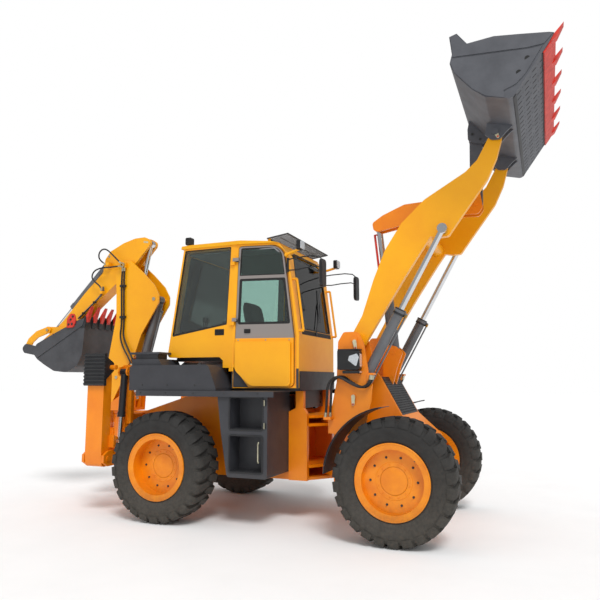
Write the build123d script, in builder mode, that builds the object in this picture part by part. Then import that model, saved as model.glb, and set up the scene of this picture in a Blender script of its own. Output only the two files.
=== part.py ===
from build123d import *
from math import pi, tan
import os

os.makedirs("parts", exist_ok=True)

# All lengths are in millimetres. Stations along the machine (x) are measured forward from the
# middle of the wheelbase and heights (z) from the ground. MID puts the frame's origin on the
# ground under the middle of the machine's overall length.
MID = 690

# Driving dimensions
WHEELBASE = 2560
HALF_TRACK = 938
TYRE_R = 583
TYRE_W = 410
LUGS = 26
LUG_DEPTH = 27
LUG_W = 84
PIVOT_X = 300
SEAT_GAP = 0.3
FIT = 0.05

FRONT_X = WHEELBASE / 2
REAR_X = -WHEELBASE / 2

# Wheels
RIM_R = 305
RIM_LIP_R = 352
RIM_HALF = 176
RIM_STEEL = 14
BEAD_HALF = 150
HUB_R = 176
HUB_DEPTH = 60
AXLE_R = 95
AXLE_FLANGE_R = 150

# Cab
CAB_HALF = 700
CAB_NOSE_HALF = 570
CAB_SKIN = 40
DOOR_GAP = 6
DOOR_W = 26
GLASS = 6

# Loader
ARM_Y = 478
ARM_W = 70
LIFT_Y = 578
LIFT_PIN_R = 28
ARM_PIN_R = 32
BUCKET_HALF = 1180
BUCKET_PLATE = 22
BUCKET_RAISED = 8
BUCKET_TEETH = 6

# Digger
SWING_X = -2640
KING_R = 45
DIG_PIN_R = 30
DIG_HALF = 300
DIG_PLATE = 14

# Stabilisers
LEG_Y = 960
LEG_X = (-2300, -2070)
LEG_PIVOT_Z = 620
LEG_PIN_R = 30

# Pins (x, z)
ARM_PIN = (808, 1920)
LIFT_BASE = (790, 1332)
LIFT_TIP = (1722, 3025)
TILT_BASE = (1070, 1810)
HORN_PIN = (917, 3263)
ROCKER_PIN = (1480, 3240)
ROCKER_LOW = (2010, 3400)
BUCKET_LINK_PIN = (2030, 4160)
BUCKET_PIN = (2270, 3977)
BOOM_FOOT = (-2840, 1000)
BOOM_HUMP = (-2075, 2555)
POST_PIN = (-2430, 1270)
DIPPER_PIN = (-2560, 3030)
DIPPER_TAIL = (-2240, 3320)
DIPPER_BASE = (-2630, 1540)
DIG_BASE = (-2860, 3185)
LEVER_PIN = (-3600, 2190)
LEVER_TOP = (-3835, 2200)
LINK_PIN = (-4205, 1950)
DIG_PIN = (-3980, 1900)


def side(y):
    """The plane of a side view at y, with x forward and z up."""
    return Plane(origin=(MID, y, 0), x_dir=(1, 0, 0), z_dir=(0, -1, 0))


def cross(x):
    """The plane of a front view at x, with y to the left and z up."""
    return Plane(origin=(MID + x, 0, 0), x_dir=(0, 1, 0), z_dir=(1, 0, 0))


def level(z):
    """The plane of a top view at z."""
    return Plane(origin=(MID, 0, z), x_dir=(1, 0, 0), z_dir=(0, 0, 1))


def outline(plane, points, shrink=0):
    """A closed face from a table of two coordinates and a corner radius."""
    with BuildSketch(plane, mode=Mode.PRIVATE) as face:
        with BuildLine():
            Polyline(*[(a, b) for a, b, r in points], close=True)
        make_face()
        for a, b, r in points:
            if r > 0:
                fillet(face.vertices().sort_by_distance((a, b))[0], r)
        if shrink > 0:
            offset(amount=-shrink, mode=Mode.REPLACE)
    return face.sketch


def slab(plane, points, width, mode=Mode.ADD, shrink=0):
    """A plate of this width, centred on the plane."""
    extrude(outline(plane, points, shrink), amount=width / 2, both=True, mode=mode)


def plates(y0, y1, points, mode=Mode.ADD):
    """The same plate on the right and on the left, between two distances from the middle."""
    for sign in (-1, 1):
        slab(side(sign * (y0 + y1) / 2), points, y1 - y0, mode)


def disc(plane, at, radius, width, mode=Mode.ADD):
    """A round boss, pin or hole of this width, centred on the plane."""
    with BuildSketch(plane, mode=Mode.PRIVATE) as face:
        with Locations(at):
            Circle(radius)
    extrude(face.sketch, amount=width / 2, both=True, mode=mode)


def discs(y0, y1, at, radius, mode=Mode.ADD):
    """The same boss, pin or hole on the right and on the left."""
    for sign in (-1, 1):
        disc(side(sign * (y0 + y1) / 2), at, radius, y1 - y0, mode)


def block(x, y, z, mode=Mode.ADD):
    """A block between two stations, two places in y and two heights."""
    with BuildSketch(level(z[0]), mode=Mode.PRIVATE) as face:
        with Locations(((x[0] + x[1]) / 2, (y[0] + y[1]) / 2)):
            Rectangle(x[1] - x[0], y[1] - y[0])
    extrude(face.sketch, amount=z[1] - z[0], mode=mode)


def blocks(x, y, z, mode=Mode.ADD):
    """The same block on the left and, mirrored, on the right."""
    block(x, y, z, mode)
    block(x, (-y[1], -y[0]), z, mode)


def post(at, radius, z, mode=Mode.ADD):
    """An upright round bar or hole."""
    with BuildSketch(level(z[0]), mode=Mode.PRIVATE) as face:
        with Locations(at):
            Circle(radius)
    extrude(face.sketch, amount=z[1] - z[0], mode=mode)


def bar(start, end, radius, inner=0, mode=Mode.ADD):
    """A round bar or tube between two points (x, y, z)."""
    run = Vector(*end) - Vector(*start)
    foot = Plane(origin=(MID + start[0], start[1], start[2]), z_dir=run.normalized())
    with BuildSketch(foot, mode=Mode.PRIVATE) as ring:
        Circle(radius)
        if inner > 0:
            Circle(inner, mode=Mode.SUBTRACT)
    extrude(ring.sketch, amount=run.length, mode=mode)


def strap(y0, y1, one, other, radius, mode=Mode.ADD):
    """A straight round-ended link on both sides, between two pins."""
    for sign in (-1, 1):
        with BuildSketch(side(sign * (y0 + y1) / 2), mode=Mode.PRIVATE) as face:
            with Locations(one, other):
                Circle(radius)
            make_hull()
        extrude(face.sketch, amount=(y1 - y0) / 2, both=True, mode=mode)


def save(part, name):
    part.label = name
    export_step(part, f"parts/{name}.step")


RIGHT_AND_LEFT = (-1, 1)

# Wheels: name, station, side, how far the disc lies inside the rim's outer lip
WHEELS = (
    ("front_right", FRONT_X, -1, 90),
    ("front_left", FRONT_X, 1, 90),
    ("rear_right", REAR_X, -1, 150),
    ("rear_left", REAR_X, 1, 150),
)


def wheel_plane(x, y):
    """The half plane through a wheel's axis: across the wheel, then out along its radius."""
    return Plane(origin=(MID + x, y, TYRE_R), x_dir=(0, 1, 0), z_dir=(1, 0, 0))


for name, x, sign, recess in WHEELS:
    hub = Axis((MID + x, 0, TYRE_R), (0, 1, 0))
    disc_y = HALF_TRACK + RIM_HALF - recess
    with BuildPart() as rim:
        with BuildSketch(wheel_plane(x, sign * HALF_TRACK)):
            with BuildLine():
                Polyline(
                    (-RIM_HALF, RIM_LIP_R),
                    (-RIM_HALF + RIM_STEEL, RIM_LIP_R),
                    (-BEAD_HALF, RIM_R),
                    (BEAD_HALF, RIM_R),
                    (RIM_HALF - RIM_STEEL, RIM_LIP_R),
                    (RIM_HALF, RIM_LIP_R),
                    (BEAD_HALF + RIM_STEEL, RIM_R - RIM_STEEL),
                    (-BEAD_HALF - RIM_STEEL, RIM_R - RIM_STEEL),
                    close=True,
                )
            make_face()
        revolve(axis=hub)
        disc(side(sign * (disc_y - RIM_STEEL / 2)), (x, TYRE_R), RIM_R - RIM_STEEL / 2, RIM_STEEL)
        disc(side(sign * (disc_y - HUB_DEPTH / 2)), (x, TYRE_R), HUB_R, HUB_DEPTH)
    save(rim.part, f"rim_{name}")

# Tyres: a smooth casing with bars that run from the middle of the tread over the shoulder, in two
# rows set alternately
with BuildPart() as tyre:
    with BuildSketch(Plane(origin=(0, 0, 0), x_dir=(0, 1, 0), z_dir=(1, 0, 0))):
        with BuildLine():
            Polyline(
                (-BEAD_HALF, RIM_R + SEAT_GAP),
                (BEAD_HALF, RIM_R + SEAT_GAP),
                (BEAD_HALF + 10, RIM_LIP_R + 8),
                (TYRE_W / 2 - 7, 430),
                (TYRE_W / 2 - 7, 500),
                (TYRE_W / 2 - 60, TYRE_R - LUG_DEPTH),
                (-TYRE_W / 2 + 60, TYRE_R - LUG_DEPTH),
                (-TYRE_W / 2 + 7, 500),
                (-TYRE_W / 2 + 7, 430),
                (-BEAD_HALF - 10, RIM_LIP_R + 8),
                close=True,
            )
        make_face()
    revolve(axis=Axis.Y)
    for row in RIGHT_AND_LEFT:
        for i in range(LUGS):
            turn = 360 / LUGS * (i + row / 4)
            across = Plane(origin=(0, 0, 0), x_dir=(0, row, 0), z_dir=(row, 0, 0)).rotated((0, turn, 0))
            with BuildSketch(across, mode=Mode.PRIVATE) as lug:
                with BuildLine():
                    Polyline(
                        (4, TYRE_R - LUG_DEPTH - 8),
                        (4, TYRE_R - 2),
                        (TYRE_W / 2 - 50, TYRE_R - 2),
                        (TYRE_W / 2 - 8, TYRE_R - 35),
                        (TYRE_W / 2, 512),
                        (TYRE_W / 2 - 30, 500),
                        close=True,
                    )
                make_face()
            extrude(lug.sketch, amount=LUG_W / 2, both=True)
for name, x, sign, recess in WHEELS:
    save(tyre.part.moved(Location((MID + x, sign * HALF_TRACK, TYRE_R))), f"tyre_{name}")

# Axles: name, station, how far the wheel's disc lies inside the rim's outer lip
for name, x, recess in (("front_axle", FRONT_X, 90), ("rear_axle", REAR_X, 150)):
    end = HALF_TRACK + RIM_HALF - recess - HUB_DEPTH - SEAT_GAP
    with BuildPart() as axle:
        disc(side(0), (x, TYRE_R), AXLE_R, 2 * end)
        disc(side(0), (x, TYRE_R), 190, 260)
        discs(end - 60, end, (x, TYRE_R), AXLE_FLANGE_R)
        blocks((x - 90, x + 90), (300, 390), (TYRE_R, TYRE_R + 160 - SEAT_GAP))
    save(axle.part, name)

# Rear frame
HINGE_PLATES = ((430, 460), (560, 590), (1000, 1030), (1090, 1120))
HINGE_PIN_R = 40
KING_PLATES = ((490, 530), (1070, 1105))
NECK_HALF = 95
LUG_GAP = 8
STAB_BASE = (800, 1600)
STAB_TIP = (850, 800)
STAB_X = -1970
STAB_PIN_R = 20
with BuildPart() as rear_frame:
    plates(380, 400, [
        (-60, 430, 0), (-60, 1330, 0), (-1300, 1330, 0), (-2040, 1100, 0), (-2040, 500, 0),
        (-1500, 500, 0), (-1460, TYRE_R + 160, 0), (-1100, TYRE_R + 160, 0), (-1060, 430, 0)])
    plates(380, 440, [
        (-24, 430, 0), (190, 430, 0), (190, 1140, 0), (150, 1200, 0), (150, 1385, 0), (60, 1385, 0),
        (60, 1200, 0), (-24, 1160, 0)])
    block((-60, -24), (-400, 400), (430, 1160))
    for z0, z1 in HINGE_PLATES:
        slab(level((z0 + z1) / 2), [
            (-40, -400, 0), (170, -400, 0), (PIVOT_X + 90, -110, 60), (PIVOT_X + 90, 110, 60),
            (170, 400, 0), (-40, 400, 0)], z1 - z0)
    post((PIVOT_X, 0), HINGE_PIN_R, (HINGE_PLATES[0][0] - 20, HINGE_PLATES[1][1] + 20))
    post((PIVOT_X, 0), HINGE_PIN_R, (HINGE_PLATES[2][0] - 20, HINGE_PLATES[3][1] + 20))
    blocks((REAR_X - 90, REAR_X + 90), (300, 400), (TYRE_R + 160, 830))
    block((-900, -820), (-400, 400), (740, 800))
    block((-420, -340), (-400, 400), (740, 800))
    block((-2050, -1960), (-780, 780), (490, 1105))
    blocks((-2035, -1905), (690, 745), (1000, 1680))
    for z0, z1 in KING_PLATES:
        slab(level((z0 + z1) / 2), [
            (-2040, -600, 0), (-2380, -NECK_HALF, 0), (SWING_X - NECK_HALF, -NECK_HALF, 80),
            (SWING_X - NECK_HALF, NECK_HALF, 80), (-2380, NECK_HALF, 0), (-2040, 600, 0)], z1 - z0)
        post((SWING_X, 0), KING_R + FIT, (z0 - 1, z1 + 1), Mode.SUBTRACT)
    for s in RIGHT_AND_LEFT:
        for x0, x1 in ((LEG_X[0] - 40, LEG_X[0] - LUG_GAP), (LEG_X[1] + LUG_GAP, LEG_X[1] + 40)):
            slab(cross((x0 + x1) / 2), [
                (s * 700, 540, 0), (s * LEG_Y, LEG_PIVOT_Z - 85, 0),
                (s * (LEG_Y + 75), LEG_PIVOT_Z - 40, 0),
                (s * (LEG_Y + 75), LEG_PIVOT_Z + 40, 0), (s * LEG_Y, LEG_PIVOT_Z + 85, 0),
                (s * 700, 720, 0)], x1 - x0)
        disc(cross((LEG_X[0] + LEG_X[1]) / 2),
            (s * LEG_Y, LEG_PIVOT_Z), LEG_PIN_R, LEG_X[1] - LEG_X[0] + 100)
        for x in (STAB_X - 56, STAB_X + 56):
            slab(cross(x), [
                (s * 740, 1540, 0), (s * 830, 1560, 0), (s * 845, 1600, 0), (s * 830, 1650, 0),
                (s * 740, 1670, 0)], 18)
        disc(cross(STAB_X), (s * STAB_BASE[0], STAB_BASE[1]), STAB_PIN_R, 140)
    blocks((LEG_X[0] - 40, -2000), (690, 780), (540, 720))
save(rear_frame.part, "rear_frame")

with BuildPart() as engine:
    block((-960, -260), (-270, 270), (800 + SEAT_GAP, 1310))
save(engine.part, "engine_block")

# Step boxes with the ledge over the rear wheels, side boxes on the ledge
STEP_X = (-620, -30)
STEP_OUT = 980
LEDGE_Z = 1390
with BuildPart() as steps:
    plates(400 + SEAT_GAP, STEP_OUT, [
        (-620, LEDGE_Z - 10, 0), (-570, 980, 60), (-490, 510, 30), (-30, 510, 30), (-30, LEDGE_Z - 10, 0)])
    for z0, z1 in ((570, 930), (1000, 1320)):
        blocks((-460, -90), (760, STEP_OUT + 1), (z0, z1), Mode.SUBTRACT)
    blocks((-1640, 50), (380, 1010), (LEDGE_Z - 10, LEDGE_Z))
    blocks((-1640, 50), (1000, 1010), (LEDGE_Z - 60, LEDGE_Z))
    blocks((-1300, -60), (380, 400), (1330 + SEAT_GAP, LEDGE_Z))
    block((62, 74), (-380 + SEAT_GAP, 380 - SEAT_GAP), (1190, 1385))
save(steps.part, "step_boxes")

with BuildPart() as boxes:
    plates(600, 980, [
        (-1760, LEDGE_Z + SEAT_GAP, 0), (-1760, 1670, 40), (-740, 1670, 50), (-640, 1420, 0),
        (-640, LEDGE_Z + SEAT_GAP, 0)])
    plates(560, 940, [(-1760, 1670, 0), (-1760, 1740, 0), (-1400, 1740, 0), (-1360, 1670, 0)])
    blocks((-1740, -1440), (CAB_HALF + 20, 900), (1740, 1795))
    blocks((-1795, -1395), (CAB_HALF + 4, 940), (1795, 1818))
save(boxes.part, "side_boxes")

# Cab
FLOOR_Z = LEDGE_Z + SEAT_GAP + 28
SHELL_Z = FLOOR_Z + SEAT_GAP
CAB_TOP = 3028
CAB_SIDE = [
    (-1450, 1760, 40), (-760, 1760, 0), (-715, 1720, 0), (-715, 1640, 0), (-600, 1640, 0),
    (-600, SHELL_Z, 0), (150, SHELL_Z, 0), (152, 2000, 0), (98, 2400, 0), (56, 2712, 0), (36, 2870, 100),
    (-75, CAB_TOP, 0), (-1257, CAB_TOP, 0)]
CAB_PLAN = [
    (-1500, -CAB_HALF, 0), (-600, -CAB_HALF, 0), (160, -CAB_NOSE_HALF, 0), (160, CAB_NOSE_HALF, 0),
    (-600, CAB_HALF, 0), (-1500, CAB_HALF, 0)]


def cab_body(depth):
    """The cab's solid form, this deep inside its outer face."""
    profile = extrude(outline(side(0), CAB_SIDE, depth), amount=2000, both=True)
    plan = extrude(outline(level(0), CAB_PLAN, depth), amount=4000)
    return profile & plan


DOOR = [(-586, 1424, 0), (-538, 3008, 40), (-27, 3008, 170), (95, 1980, 0), (95, 1424, 60)]
UPPER_PANE = [(-525, 2667, 10), (-510, 2984, 20), (-50, 2984, 130), (-8, 2667, 10)]
LOWER_PANE = [(-539, 2118, 20), (-523, 2633, 20), (-4, 2633, 20), (55, 2118, 20)]
REAR_PANE = [(-1392, 2000, 15), (-1240, 3008, 15), (-628, 3008, 15), (-672, 2122, 15)]
WINDSCREEN = [(-480, 2062, 30), (-460, 2930, 60), (460, 2930, 60), (480, 2062, 30)]
REAR_WINDOW = [(-600, 2050, 40), (-600, 2960, 60), (600, 2960, 60), (600, 2050, 40)]
# The door's free edge moves forward as it starts to open
SWING_ROOM = 26
DOOR_HOLE = [
    (-586, 1424, 0), (-538, 3008, 40), (SWING_ROOM - 27, 3008, 170), (95 + SWING_ROOM, 1980, 0),
    (95 + SWING_ROOM, 1424, 60)]
HINGE = (-585, 716)
HINGE_Z = (1600, 2110, 2790)
HINGE_R = 14
HINGE_PIN = 8
# Handrails on the front pillars: their lower and upper corners (x, z)
RAIL = ((196, 2040), (118, 2618))
RAIL_Y = 548
RAIL_R = 13
RAIL_OFF = 80
cab_outer = cab_body(0)
cab_inner = cab_body(CAB_SKIN)
with BuildPart() as shell:
    add(cab_outer)
    add(cab_inner, mode=Mode.SUBTRACT)
    plates(450, 760, DOOR_HOLE, Mode.SUBTRACT)
    plates(655, 760, REAR_PANE, Mode.SUBTRACT)
    slab(cross(120), WINDSCREEN, 500, Mode.SUBTRACT)
    slab(cross(-1400), REAR_WINDOW, 400, Mode.SUBTRACT)
    block((-680, 120), (-520, 520), (1400, 1465), Mode.SUBTRACT)
    for z in HINGE_Z:
        blocks((-625, HINGE[0]), (690, HINGE[1] + 8), (z, z + 40))
        for s in RIGHT_AND_LEFT:
            post((HINGE[0], s * HINGE[1]), HINGE_R, (z, z + 40))
            post((HINGE[0], s * HINGE[1]), HINGE_PIN, (z, z + 80))
    for s in RIGHT_AND_LEFT:
        bar((RAIL[0][0], s * RAIL_Y, RAIL[0][1]), (RAIL[1][0], s * RAIL_Y, RAIL[1][1]), RAIL_R)
        for x, z in RAIL:
            bar((x, s * RAIL_Y, z), (x - RAIL_OFF, s * RAIL_Y, z), RAIL_R)
save(shell.part, "cab_shell")

with BuildPart() as floor:
    slab(side(0), [
        (-1420, 1720, 0), (-1420, 1760 - SEAT_GAP, 0), (-760, 1760 - SEAT_GAP, 0), (-725, 1715, 0),
        (-725, LEDGE_Z + SEAT_GAP, 0), (-745, LEDGE_Z + SEAT_GAP, 0), (-760, 1720, 0)], 1100)
    slab(level(LEDGE_Z + SEAT_GAP + 14), [
        (-745, -600, 0), (150, -CAB_NOSE_HALF, 0), (150, CAB_NOSE_HALF, 0), (-745, 600, 0)], 28)
    slab(side(0), [
        (150, LEDGE_Z + 4, 0), (150.4, FLOOR_Z, 0), (152.6, 1600, 0), (166, 1600, 0),
        (164, LEDGE_Z + 4, 0)], 1120)
save(floor.part, "cab_floor")

ROOF_Z = 3070
with BuildPart() as roof:
    slab(side(0), [
        (-1290, CAB_TOP + SEAT_GAP, 0), (-1280, ROOF_Z - 8, 0), (-1150, ROOF_Z, 0), (-500, ROOF_Z, 0),
        (-170, ROOF_Z - 22, 0), (-70, CAB_TOP + SEAT_GAP, 0)], 1430)
    for s in RIGHT_AND_LEFT:
        slab(level(3000), [
            (-560, s * 720, 0), (200, s * 720, 0), (200, s * 590, 0)], 300, Mode.SUBTRACT)
save(roof.part, "cab_roof")

pane_skin = cab_body(10) - cab_body(10 + GLASS)
side_cut = extrude(outline(side(0), REAR_PANE, SEAT_GAP), amount=900, both=True)
front_cut = extrude(outline(cross(400), WINDSCREEN, SEAT_GAP), amount=-500)
rear_cut = extrude(outline(cross(-1000), REAR_WINDOW, SEAT_GAP), amount=-800)
with BuildPart() as panes:
    add(pane_skin & side_cut)
    add(pane_skin & front_cut)
    add(pane_skin & rear_cut)
save(panes.part, "cab_glass")

door_skin = cab_body(0) - cab_body(DOOR_W)
door_body = extrude(outline(side(0), DOOR, DOOR_GAP), amount=900, both=True)
upper_hole = extrude(outline(side(0), UPPER_PANE), amount=900, both=True)
lower_hole = extrude(outline(side(0), LOWER_PANE), amount=900, both=True)
upper_pane = extrude(outline(side(0), UPPER_PANE, SEAT_GAP), amount=900, both=True)
lower_pane = extrude(outline(side(0), LOWER_PANE, SEAT_GAP), amount=900, both=True)
door_leaf = (door_skin & door_body) - upper_hole - lower_hole
door_glass = pane_skin & (upper_pane + lower_pane)
# The door's lower panel bulges out of the cab's plan
BULGE = 45
BULGE_SIDE = [(-555, 1925, 30), (70, 1925, 30), (70, 1440, 40), (-370, 1440, 120), (-555, 1620, 120)]
BULGE_PLAN = [
    (-570, -CAB_HALF - BULGE + 6, 30), (85, -CAB_NOSE_HALF - BULGE - 14, 30), (85, 0, 0), (-570, 0, 0)]
bulge_right = extrude(outline(level(0), BULGE_PLAN), amount=4000)
bulge_both = bulge_right + mirror(bulge_right, about=Plane.XZ)
bulge_wall = cab_body(2)
bulge = (bulge_both & extrude(outline(side(0), BULGE_SIDE), amount=900, both=True)) - bulge_wall
for name, y in (("right", (-900, -500)), ("left", (500, 900))):
    with BuildPart() as half:
        block((-700, 300), y, (1300, 3100))
    with BuildPart() as door:
        add(door_leaf & half.part)
        add(bulge & half.part)
        for z in HINGE_Z:
            for s in RIGHT_AND_LEFT:
                if s * y[0] > 0:
                    rise = (z + 80 - DOOR[0][1]) / (DOOR[1][1] - DOOR[0][1])
                    stile = DOOR[0][0] + (DOOR[1][0] - DOOR[0][0]) * rise + DOOR_GAP + 2
                    block((-576, stile + 14), tuple(sorted((s * 703, s * (HINGE[1] + 8)))), (z + 42, z + 80))
                    block((stile, stile + 14), tuple(sorted((s * 675, s * (HINGE[1] + 8)))), (z + 42, z + 80))
                    post((HINGE[0], s * HINGE[1]), HINGE_R, (z + 42, z + 80))
                    post((HINGE[0], s * HINGE[1]), HINGE_PIN + FIT, (z + 41, z + 81), Mode.SUBTRACT)
    save(door.part, f"door_{name}")
    save(Part(door_glass & half.part), f"door_glass_{name}")

with BuildPart() as seat:
    slab(side(0), [
        (-550, FLOOR_Z + SEAT_GAP, 0), (-280, FLOOR_Z + SEAT_GAP, 0), (-300, 1825, 0),
        (-550, 1825, 0)], 360)
    slab(side(0), [
        (-640, 1820, 30), (-160, 1820, 40), (-160, 1920, 40), (-560, 1910, 0), (-660, 2440, 40),
        (-760, 2420, 40)], 480)
    slab(side(0), [
        (-20, FLOOR_Z + SEAT_GAP, 0), (100, FLOOR_Z + SEAT_GAP, 0), (100, 1700, 0), (-10, 1900, 0)], 360)
    bar((40, 0, 1800), (-120, 0, 2080), 30)
    bar((-110, 0, 2062), (-128, 0, 2090), 190)
    bar((-112, 0, 2066), (-130, 0, 2094), 165)
    blocks((-1300, -1180), (180, 300), (1800 + SEAT_GAP, 2020))
    blocks((-1250, -1230), (230, 250), (2000, 2260))
save(seat.part, "seat_and_controls")

MIRROR = (450, 620, 2620)
GUARD = ((-200, 3075), (50, 3110))
with BuildPart() as mirrors:
    for s in RIGHT_AND_LEFT:
        for rise in (0, 110):
            bar((0, s * 545, 2650 + rise), (300, s * 575, 2700 + rise), 8)
            bar((300, s * 575, 2700 + rise), (440, s * MIRROR[1], 2700 + rise * 0.8), 8)
        block((438, 466), tuple(sorted((s * (MIRROR[1] - 70), s * (MIRROR[1] + 70)))), (2500, 2800))
    for s in RIGHT_AND_LEFT:
        bar((0, s * 600, 2890), (185, s * 620, 2935), 14)
        block((160, 225), tuple(sorted((s * 560, s * 680))), (2920, 3030))
        block((-1290, -1220), tuple(sorted((s * 540, s * 640))), (3096, 3190))
        post((-1250, s * 590), 14, (ROOF_Z - 20, 3100))
        bar((-190, s * 620, ROOF_Z - 40), (-190, s * 620, GUARD[0][1] + 10), 10)
    slab(side(0), [*[(x, z, 0) for x, z in GUARD], *[(x, z + 8, 0) for x, z in GUARD[::-1]]], 2 * 650)
    for x, z in GUARD:
        bar((x, -650, z + 4), (x, 650, z + 4), 9)
    add(cab_outer, mode=Mode.SUBTRACT)
    add(roof.part, mode=Mode.SUBTRACT)
save(mirrors.part, "mirrors_lamps_and_guard")

# Front frame
FRAME_IN = 400
FRAME_OUT = 425
TOWER_IN = 642
TOWER_OUT = 665
FRONT_LUGS = ((466, 554), (1036, 1084))
TOWER = [
    (515, 960, 0), (515, 1110, 20), (560, 1250, 20), (610, 1480, 20), (630, 1900, 40), (690, 2000, 40),
    (850, 2000, 60),
    (905, 1880, 60), (945, 1620, 20), (960, 1490, 0), (990, 1460, 20), (975, 1290, 20), (940, 1160, 0),
    (900, 960, 0)]
with BuildPart() as front_frame:
    plates(FRAME_IN, FRAME_OUT, [
        (490, 440, 0), (490, 1130, 0), (610, 1480, 20), (630, 1900, 40), (690, 2000, 40), (850, 2000, 60),
        (905, 1880, 60), (945, 1620, 0), (1013, 1539, 0), (1236, 1140, 0), (1500, 900, 0), (1500, 700, 0),
        (1400, 743, 0), (1160, 743, 0), (1100, 500, 0)])
    plates(TOWER_IN, TOWER_OUT, TOWER)
    block((490, 515), (-FRAME_OUT, FRAME_OUT), (440, 1180))
    blocks((540, 565), (FRAME_OUT, TOWER_IN), (960, 1200))
    blocks((515, 900), (FRAME_OUT, TOWER_IN), (960, 985))
    blocks((620, 640), (FRAME_OUT, TOWER_IN), (1480, 1800))
    slab(side(0), [
        (900, 1539, 0), (1013, 1539, 0), (1236, 1140, 0), (1500, 900, 0), (1500, 700, 0),
        (1480, 700, 0), (1480, 890, 0),
        (1220, 1124, 0), (1001, 1519, 0), (900, 1519, 0)], 2 * FRAME_OUT)
    disc(side(0), (720, 1720), 70, 2 * FRAME_IN + 10)
    blocks((FRONT_X - 90, FRONT_X + 90), (300, FRAME_OUT), (TYRE_R + 160, 860))
    for z0, z1 in FRONT_LUGS:
        slab(level((z0 + z1) / 2), [
            (PIVOT_X - 80, -80, 60), (515, -300, 0), (515, 300, 0), (PIVOT_X - 80, 80, 60)], z1 - z0)
        post((PIVOT_X, 0), HINGE_PIN_R + FIT, (z0 - 1, z1 + 1), Mode.SUBTRACT)
    discs(FRAME_IN, TOWER_OUT + 12, ARM_PIN, ARM_PIN_R)
    discs(FRAME_IN, TOWER_OUT + 12, LIFT_BASE, LIFT_PIN_R)
    plates(70, 95, [
        (960, 1530, 0), (960, 1740, 0), (1030, 1890, 30), (1110, 1870, 30), (1180, 1800, 30),
        (1120, 1650, 0), (1080, 1500, 0), (1060, 1440, 0), (1010, 1520, 0)])
    disc(side(0), TILT_BASE, LIFT_PIN_R, 200)
    blocks((500, 575), (TOWER_IN + 5, 765), (1104, 1130))
    blocks((975, 1025), (TOWER_IN + 5, 750), (1556, 1576))
    blocks((935, 990), (TOWER_IN + 5, TOWER_OUT + 12), (1500, 1576))
save(front_frame.part, "front_frame")

FENDER_R = TYRE_R + 89
FENDER_OUT = 1080
with BuildPart() as fenders:
    for s in RIGHT_AND_LEFT:
        y = s * (TOWER_OUT + SEAT_GAP + FENDER_OUT) / 2
        width = FENDER_OUT - TOWER_OUT - SEAT_GAP
        disc(side(y), (FRONT_X, TYRE_R), FENDER_R + 6, width)
        disc(side(y), (FRONT_X, TYRE_R), FENDER_R, width + 2, Mode.SUBTRACT)
        slab(side(y), [
            (FRONT_X + 900, -200, 0), (FRONT_X + 900, 1500, 0), (1175, 1500, 0), (1150, 1000, 0),
            (1000, TYRE_R + 35, 0),
            (400, TYRE_R + 35, 0), (400, -200, 0)], width + 2, Mode.SUBTRACT)
save(fenders.part, "front_fenders")

with BuildPart() as lamps:
    for s in RIGHT_AND_LEFT:
        y = tuple(sorted((s * (TOWER_OUT + SEAT_GAP), s * 770)))
        block((640, 890), y, (1570, 1820))
save(lamps.part, "headlights")

# Loader
ARM = [
    (728, 1900, 40), (760, 1850, 0), (808, 1842, 0), (870, 1870, 40), (1060, 2170, 200),
    (1270, 2500, 0), (1490, 2830, 60), (1590, 2970, 0), (1670, 2955, 30),
    (1770, 2960, 30), (1900, 3140, 0), (2170, 3505, 200), (2270, 3720, 0), (2320, 3900, 0),
    (2334, 3990, 50), (2280, 4042, 50), (2212, 4010, 50),
    (2205, 3950, 0), (2080, 3720, 120), (1960, 3610, 0), (1540, 3370, 200), (1290, 3140, 0),
    (1110, 2870, 200), (980, 2560, 0), (850, 2180, 0), (740, 1990, 60)]
EAR = [(2190, 4080, 0), (2170, 3960, 0), (2230, 3900, 50), (2310, 3895, 50), (2370, 3960, 0),
    (2440, 4020, 0)]
with BuildPart() as arms:
    plates(ARM_Y - ARM_W / 2, ARM_Y + ARM_W / 2, ARM)
    discs(ARM_Y - ARM_W / 2 - 10, ARM_Y + ARM_W / 2 + 10, ARM_PIN, 75)
    disc(side(0), (1500, 3020), 75, 2 * ARM_Y)
    plates(80, 105, [
        (1420, 3000, 0), (1420, 3240, 60), (1500, 3330, 60), (1580, 3240, 60), (1580, 3000, 0)])
    disc(side(0), ROCKER_PIN, 28, 210)
    discs(ARM_Y + ARM_W / 2 - 1, ARM_Y + ARM_W / 2 + 20, LIFT_TIP, 60)
    discs(400, 560, ARM_PIN, ARM_PIN_R + FIT, Mode.SUBTRACT)
    discs(400, 560, BUCKET_PIN, ARM_PIN_R + FIT, Mode.SUBTRACT)
save(arms.part, "loader_arms")

with BuildPart() as rocker:
    plates(48, 72, [
        (855, 3290, 40), (870, 3200, 40), (930, 3185, 0), (1180, 3230, 0), (1440, 3130, 0),
        (1560, 3130, 0), (1870, 3290, 0), (2030, 3280, 50),
        (2080, 3350, 60), (2050, 3560, 40), (1900, 3540, 0), (1500, 3480, 0), (1230, 3470, 100),
        (980, 3370, 40)])
    block((1250, 1330), (-60, 60), (3280, 3420))
    discs(40, 80, ROCKER_PIN, 28 + FIT, Mode.SUBTRACT)
    disc(side(0), ROCKER_LOW, 26, 160)
save(rocker.part, "rocker")

with BuildPart() as link:
    slab(side(0), [
        (1945, 3380, 50), (2010, 3335, 50), (2075, 3385, 50), (2095, 4160, 50), (2030, 4225, 50),
        (1965, 4170, 50)], 64)
    disc(side(0), ROCKER_LOW, 26 + FIT, 80, Mode.SUBTRACT)
save(link.part, "bucket_link")

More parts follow.
